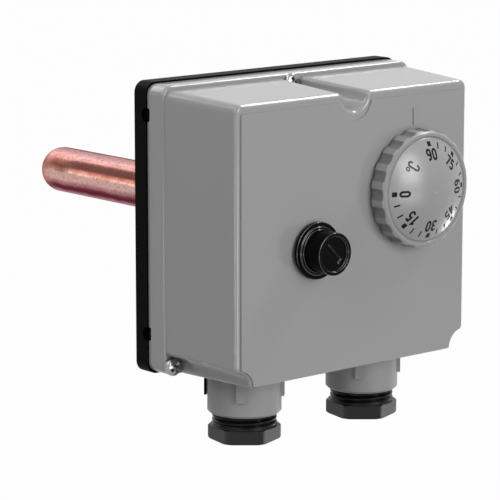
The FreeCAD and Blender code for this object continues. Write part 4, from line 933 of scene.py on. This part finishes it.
def make_cover_screw(name, turn):
    low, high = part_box(name)
    radius = (high[0] - low[0]) / 2
    centre = Vector(((low[0] + high[0]) / 2, high[1], (low[2] + high[2]) / 2))
    length = high[1] - low[1]
    profile = [(0, 0, False), (SHANK_TIP, 0, False), (SHANK, SHANK_POINT, False),
               (SHANK, length - HEAD_TALL, False), (radius, length - HEAD_TALL, False),
               (radius, length - HEAD_RIM, False)]
    for ring in spaced(0, radius, RING_STEP)[:0:-1]:
        fall = 1 - math.sqrt(max(1 - (ring / radius) ** 2, 0))
        profile.append((ring, length - HEAD_DOME * fall, True))
    profile.append((0, length, True))
    across, up, along = SIDEWAYS["-Y"]
    mesh = bmesh.new()
    rows = []
    for ring, distance, on_face in profile:
        row = []
        for step in range(SCREW_STEPS if ring else 1):
            angle = 2 * math.pi * step / SCREW_STEPS
            sink = cross_depth(ring * math.cos(angle), ring * math.sin(angle)) if on_face else 0
            spoke = across * math.cos(angle + turn) + up * math.sin(angle + turn)
            row.append(mesh.verts.new(centre + spoke * ring + along * (distance - sink)))
        rows.append(row)
    stitch(mesh, list(zip(rows, rows[1:])), SCREW_STEPS)
    screw = finish_piece("recessed_" + name, mesh)
    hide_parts(name)
    return dress(screw, "screw_steel", "housing")


# How far each screw's cross is turned, in degrees.
SCREW_TURNS = {"cover_screw_top": 20, "cover_screw_left": 35, "cover_screw_right": 62}
screws = [make_cover_screw(name, math.radians(turn)) for name, turn in SCREW_TURNS.items()]
print("screws:", len(screws))

# %% [markdown]
# ## The reset cap
#
# The cap unscrews from the reset neck. Two things on it aren't round: a flat on the edge of its
# flange, and a coin slot across its end. One function gives the flange's radius at an angle, and one
# gives the slot's depth at a place.

# %% Flat and coin slot of the cap
CAP_FLANGE_THICK = 1.3 * MM
CAP_FLAT = 8.1 * MM
CAP_FLAT_ANGLE = math.radians(225)
COIN_HALF = 0.8 * MM
COIN_REACH = 3.6 * MM
COIN_DEEP = 0.6 * MM
COIN_WALL = 0.12 * MM
COIN_ANGLE = math.radians(135)


def coin_depth(radius, angle):
    """Depth of the coin slot at a place on the cap's end."""
    off = abs(radius * math.sin(angle - COIN_ANGLE))
    along = abs(radius * math.cos(angle - COIN_ANGLE))
    inside = min(COIN_HALF - off, COIN_REACH - along) / COIN_WALL
    return COIN_DEEP * min(max(inside + 0.5, 0.0), 1.0)


def cap_reach(radius, distance, angle):
    """The flange's radius, cut off by its flat."""
    off = math.cos(angle - CAP_FLAT_ANGLE)
    if distance > CAP_FLANGE_THICK or off <= 0:
        return radius
    return min(radius, CAP_FLAT / off)


print("coin slot:", round(2 * COIN_REACH / MM, 1), "mm long")

# %% [markdown]
# The cap is a glossy black moulding. Its rounded edges are what the photograph shows of it: thin
# light rings on the flange, the foot and the end. Faces that lean neither along the axis nor square
# to it belong to those edges, and take the polished material.

# %% Reset cap
CAP_FLANGE = 8.7 * MM
CAP_FOOT = 7.3 * MM
CAP_FOOT_TALL = 0.4 * MM
CAP_RADIUS = 6.45 * MM
CAP_BORE = 5.05 * MM
CAP_BORE_DEEP = 6.4 * MM
CAP_RECESS = 0.8 * MM
CAP_RECESS_RADIUS = 5.4 * MM
CAP_STEPS = 180
EDGE_LEAN = (0.1, 0.98)


def polish_edges(piece, axis, material):
    """Give the rounded edges of a turned piece a material of their own."""
    along = SIDEWAYS[axis][2]
    piece.data.materials.append(MATERIALS[material])
    for face in piece.data.polygons:
        if EDGE_LEAN[0] < abs(face.normal.dot(along)) < EDGE_LEAN[1]:
            face.material_index = 1


def make_cap():
    low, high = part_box("reset_cap")
    centre = Vector(((low[0] + high[0]) / 2, high[1], (low[2] + high[2]) / 2))
    length = high[1] - low[1]
    sunk = length - CAP_RECESS
    flat_radius = CAP_RECESS_RADIUS - 2 * EDGE
    foot = CAP_FLANGE_THICK + CAP_FOOT_TALL
    corners = [(0, CAP_BORE_DEEP), (CAP_BORE, CAP_BORE_DEEP), (CAP_BORE, 0), (CAP_FLANGE, 0),
               (CAP_FLANGE, CAP_FLANGE_THICK), (CAP_FOOT, CAP_FLANGE_THICK), (CAP_FOOT, foot),
               (CAP_RADIUS, foot), (CAP_RADIUS, length), (CAP_RECESS_RADIUS, length),
               (CAP_RECESS_RADIUS, sunk), (flat_radius, sunk)]
    profile = round_corners(corners, EDGE)
    profile += [(radius, sunk) for radius in spaced(flat_radius, 0, RING_STEP)[1:]]
    profile[-1] = (0, sunk - COIN_DEEP)
    cap = turned_piece("slotted_cap", centre, "-Y", profile, CAP_STEPS, cap_reach)
    for point in cap.data.vertices:
        offset = point.co - centre
        radius = math.hypot(offset.x, offset.z)
        if abs(-offset.y - sunk) < HAIR / 10 and radius < flat_radius:
            point.co.y += coin_depth(radius, math.atan2(offset.z, offset.x))
    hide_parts("reset_cap")
    dress(cap, "cap_plastic", "cap")
    polish_edges(cap, "-Y", "cap_edge")
    return cap


cap = make_cap()
print("cap faces:", len(cap.data.polygons))

# %% [markdown]
# ## The dial's print
#
# The figures are printed on the dome in black. Each figure is a few strokes on a small grid, one
# unit tall, and each stroke becomes a thin band that lies on the dome. The scale runs from 0 to 90
# in steps of 5, and the dial stands at 90.

# %% Strokes of the figures


def bow(x, y, wide, tall, start, end, points=14):
    """An arc of an ellipse on the figures' grid, angles in degrees."""
    turns = [math.radians(start + (end - start) * index / points) for index in range(points + 1)]
    return [(x + wide * math.cos(turn), y + tall * math.sin(turn)) for turn in turns]


STROKES = {
    "0": [[(0.08, 0.32)] + bow(0.27, 0.68, 0.19, 0.24, 180, 0) + bow(0.27, 0.32, 0.19, 0.24, 0, -180)],
    "1": [[(0.10, 0.72), (0.32, 0.92), (0.32, 0.02)]],
    "3": [bow(0.25, 0.72, 0.19, 0.20, 160, -90) + bow(0.25, 0.29, 0.21, 0.22, 90, -160)],
    "4": [[(0.40, 0.02), (0.40, 0.92), (0.06, 0.26), (0.54, 0.26)]],
    "5": [[(0.46, 0.92), (0.12, 0.92), (0.10, 0.55)] + bow(0.26, 0.32, 0.21, 0.25, 120, -150)],
    "6": [bow(0.27, 0.64, 0.19, 0.28, 55, 180) + bow(0.27, 0.31, 0.19, 0.23, 180, 540, 24)],
    "7": [[(0.06, 0.92), (0.50, 0.92), (0.22, 0.02)]],
    "9": [bow(0.27, 0.36, 0.19, 0.28, 235, 360) + bow(0.27, 0.69, 0.19, 0.23, 0, 360, 24)],
    "C": [[(0.45, 0.66)] + bow(0.28, 0.74, 0.17, 0.18, 0, 180) + bow(0.28, 0.22, 0.17, 0.18, 180, 360)
          + [(0.45, 0.30)]],
    "o": [bow(0.28, 0.48, 0.13, 0.13, 0, 360, 16)],
}
print("figures:", "".join(STROKES))

# %% [markdown]
# A stroke is a closed band with a top, a bottom and sides. Its points are set out on the flat dial
# first, and then lifted onto the dome, whose curve follows from its radius and its rise.

# %% Helpers for the print
PRINT_PROUD = 0.02 * MM
PRINT_SUNK = 0.02 * MM
PRINT_STEP = 0.5 * MM
MITRE_LEAST = 0.5
DOME_EDGE = 15.7 * MM
DOME_RISE = 4.2 * MM
DOME_CURVE = (DOME_EDGE ** 2 + DOME_RISE ** 2) / (2 * DOME_RISE)

knob_low, knob_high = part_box("control_knob")
DIAL_X = (knob_low[0] + knob_high[0]) / 2
DIAL_Z = (knob_low[2] + knob_high[2]) / 2
DOME_TOP = knob_low[1]


def on_dome(x, z, lift):
    """A place on the dial, given from its axis, lifted off the dome."""
    sink = DOME_CURVE - math.sqrt(DOME_CURVE ** 2 - x * x - z * z)
    return Vector((DIAL_X + x, DOME_TOP + sink - lift, DIAL_Z + z))


def add_band(mesh, route, wide):
    """A band of even width along a route on the dial."""
    spots = [Vector(spot) for spot in route]
    rails = []
    for index, spot in enumerate(spots):
        before = (spot - spots[index - 1]).normalized() if index else (spots[1] - spot).normalized()
        after = (spots[index + 1] - spot).normalized() if index < len(spots) - 1 else before
        side = Vector((-before.y - after.y, before.x + after.x)).normalized()
        reach = wide / 2 / max(side.dot(Vector((-before.y, before.x))), MITRE_LEAST)
        rails.append([spot + side * reach, spot - side * reach])
    rows = []
    for left, right in rails:
        ring = ((left, PRINT_PROUD), (right, PRINT_PROUD), (right, -PRINT_SUNK), (left, -PRINT_SUNK))
        rows.append([mesh.verts.new(on_dome(place.x, place.y, lift)) for place, lift in ring])
    mesh.faces.new(rows[0])
    mesh.faces.new(rows[-1][::-1])
    for low, high in zip(rows, rows[1:]):
        for index in range(4):
            after = (index + 1) % 4
            mesh.faces.new([low[index], high[index], high[after], low[after]])


def split_long(route, step=PRINT_STEP):
    """The route with points added on its long runs, so that a band can follow the dome."""
    fine = [Vector(route[0])]
    for spot in route[1:]:
        start, end = fine[-1].copy(), Vector(spot)
        count = max(1, math.ceil((end - start).length / step))
        fine += [start.lerp(end, index / count) for index in range(1, count + 1)]
    return fine


print("dome curve:", round(DOME_CURVE / MM, 1), "mm")

# %% [markdown]
# The figures stand with their tops towards the rim. A letter is laid out from its middle, with one
# direction up and one to the right, and a figure sets its digits side by side.

# %% Helpers for figures
FIGURE_TALL = 3.5 * MM
FIGURE_STEP = 2.3 * MM
FIGURE_RADIUS = 11.0 * MM
FIGURE_STROKE = 0.68 * MM
GRID_MIDDLE = Vector((0.28, 0.48))


def outward(angle):
    turn = math.radians(angle)
    return Vector((math.cos(turn), math.sin(turn)))


def add_letter(mesh, letter, middle, up, tall, stroke):
    right = Vector((up.y, -up.x))
    for strokes in STROKES[letter]:
        route = [middle + up * (y - GRID_MIDDLE.y) * tall + right * (x - GRID_MIDDLE.x) * tall
                 for x, y in strokes]
        add_band(mesh, split_long(route), stroke)


def add_figure(mesh, figure, angle):
    """The digits side by side, with their tops towards the rim."""
    up = outward(angle)
    right = Vector((up.y, -up.x))
    digits = str(figure)
    for place, digit in enumerate(digits):
        shift = (place - (len(digits) - 1) / 2) * FIGURE_STEP
        add_letter(mesh, digit, up * FIGURE_RADIUS + right * shift, up, FIGURE_TALL, FIGURE_STROKE)


print("figures:", round(FIGURE_TALL / MM, 1), "mm tall")

# %% [markdown]
# A square marks each figure of the scale, and thin ticks mark the steps between. One piece carries
# them all, and rides on the dial.

# %% Printed scale
SQUARE_RADIUS = 14.2 * MM
SQUARE_SIDE = 1.45 * MM
TICK_INNER = 12.9 * MM
TICK_OUTER = 14.7 * MM
TICK_WIDE = 0.5 * MM
SCALE_START = 180
DEGREES_PER_UNIT = 3
SCALE_STEP = 5
FIGURES = (0, 15, 30, 45, 60, 75, 90)


def make_scale_print():
    mesh = bmesh.new()
    for figure in FIGURES:
        angle = SCALE_START + figure * DEGREES_PER_UNIT
        add_figure(mesh, figure, angle)
        spot = outward(angle)
        add_band(mesh, split_long([spot * (SQUARE_RADIUS - SQUARE_SIDE / 2),
                                   spot * (SQUARE_RADIUS + SQUARE_SIDE / 2)]), SQUARE_SIDE)
    for value in range(FIGURES[0], FIGURES[-1], SCALE_STEP):
        if value in FIGURES:
            continue
        spot = outward(SCALE_START + value * DEGREES_PER_UNIT)
        add_band(mesh, split_long([spot * TICK_INNER, spot * TICK_OUTER]), TICK_WIDE)
    return finish_piece("dial_print", mesh)


dial_print = dress(make_scale_print(), "print_black", "dial")
print("scale faces:", len(dial_print.data.polygons))

# %% [markdown]
# A degree sign and a C are printed in grey in the empty quarter of the dial.

# %% Printed unit
UNIT_TALL = 4.1 * MM
UNIT_ANGLE = 144
UNIT_SIGNS = [("C", (-7.5, 8.2), 0.62), ("o", (-9.6, 7.5), 0.38)]


def make_unit_print():
    """The unit's signs, whose places and strokes are in millimetres from the dial's axis."""
    mesh = bmesh.new()
    for sign, place, stroke in UNIT_SIGNS:
        add_letter(mesh, sign, Vector(place) * MM, outward(UNIT_ANGLE), UNIT_TALL, stroke * MM)
    return finish_piece("dial_unit_print", mesh)


unit_print = dress(make_unit_print(), "print_grey", "dial")
print("unit faces:", len(unit_print.data.polygons))

# %% [markdown]
# The flutes round the dial's skirt get painted shade: their colour is darker than the ridges
# between them, as the hollow flutes lie in shade. A cosine of the angle about the dial's axis has
# one wave for each flute, so cutting it off gives a mask with crisp sides. A second mask keeps the
# flat front of the ring clean.

# %% Painted shade in the flutes
FLUTES = 20
FLUTE_REACH = (17.70 * MM, 17.76 * MM)
FLUTE_WAVE = (-0.5, -0.2)
# The grey of the painted shade in the flutes.
DULL_GREY = (0.15, 0.15, 0.155, 1.0)


def add_dull_flutes(material):
    tree = material.node_tree
    effect = tree.nodes["effect"]
    sides = tree.nodes.new("ShaderNodeSeparateXYZ")
    feed(tree, sides.inputs[0], tree.nodes.new("ShaderNodeTexCoord").outputs["Object"])
    across = add_math(tree, "SUBTRACT", sides.outputs["X"], DIAL_X)
    up = add_math(tree, "SUBTRACT", sides.outputs["Z"], DIAL_Z)
    squares = [add_math(tree, "MULTIPLY", side, side) for side in (across, up)]
    reach = add_math(tree, "SQRT", add_math(tree, "ADD", *squares), 0.0)
    turns = add_math(tree, "MULTIPLY", add_math(tree, "ARCTAN2", up, across), FLUTES)
    wave = add_math(tree, "COSINE", turns, 0.0)
    masks = add_range(tree, wave, *FLUTE_WAVE), add_range(tree, reach, *FLUTE_REACH)
    mask = add_math(tree, "MULTIPLY", *masks)
    plain = tuple(effect.inputs["Color"].default_value)
    # The mask mixes painted shade into the dial's colour.
    feed(tree, effect.inputs["Color"], add_blend(tree, mask, plain, DULL_GREY))


add_dull_flutes(MATERIALS["dial_plastic"])
print("flutes:", FLUTES)

# %% [markdown]
# ## The copper pocket
#
# The pocket is a drawn tube with a rounded closed end. A groove is pressed along it after drawing,
# so its sides and ends run softly into the tube. The pocket is made like a turned piece whose radius
# dips where the groove is.

# %% Copper pocket
POCKET_WALL = 1.0 * MM
GROOVE_ANGLE = math.radians(-66)
GROOVE_HALF = math.radians(22)
GROOVE_DEPTH = 1.2 * MM
GROOVE_START = 15 * MM
GROOVE_END = 83 * MM
GROOVE_RUN_OUT = 5 * MM
POCKET_ROW = 1.0 * MM
TIP_ROW = 6
POCKET_STEPS = 180


def groove_dip(distance, angle):
    """How far the groove sinks at a distance along the pocket and an angle round it."""
    off = abs((angle - GROOVE_ANGLE + math.pi) % (2 * math.pi) - math.pi)
    if off > GROOVE_HALF:
        return 0.0
    ends = min((distance - GROOVE_START) / GROOVE_RUN_OUT, (GROOVE_END - distance) / GROOVE_RUN_OUT)
    rise = min(max(ends, 0.0), 1.0)
    soft = rise * rise * (3 - 2 * rise)
    return GROOVE_DEPTH * soft * math.cos(math.pi / 2 * off / GROOVE_HALF) ** 2


def make_pocket():
    low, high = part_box("copper_pocket")
    centre = Vector((0, low[1], 0))
    outer = (high[0] - low[0]) / 2
    inner = outer - POCKET_WALL
    length = high[1] - low[1]
    straight = length - outer
    tip = [math.radians(degrees) for degrees in range(0, 90, TIP_ROW)]
    profile = [(0, length)]
    profile += [(outer * math.cos(angle), straight + outer * math.sin(angle)) for angle in reversed(tip)]
    profile += [(outer, distance) for distance in spaced(straight, 0, POCKET_ROW)[1:]]
    profile += [(inner, distance) for distance in spaced(0, straight, POCKET_ROW)[:-1]]
    profile += [(inner * math.cos(angle), straight + inner * math.sin(angle)) for angle in tip]
    profile += [(0, length - POCKET_WALL)]
    pocket = turned_piece("grooved_pocket", centre, "+Y", profile, POCKET_STEPS,
                          lambda radius, distance, angle: radius - groove_dip(distance + low[1], angle))
    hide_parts("copper_pocket")
    return dress(pocket, "pocket_copper", "housing")


pocket = make_pocket()
print("pocket faces:", len(pocket.data.polygons))
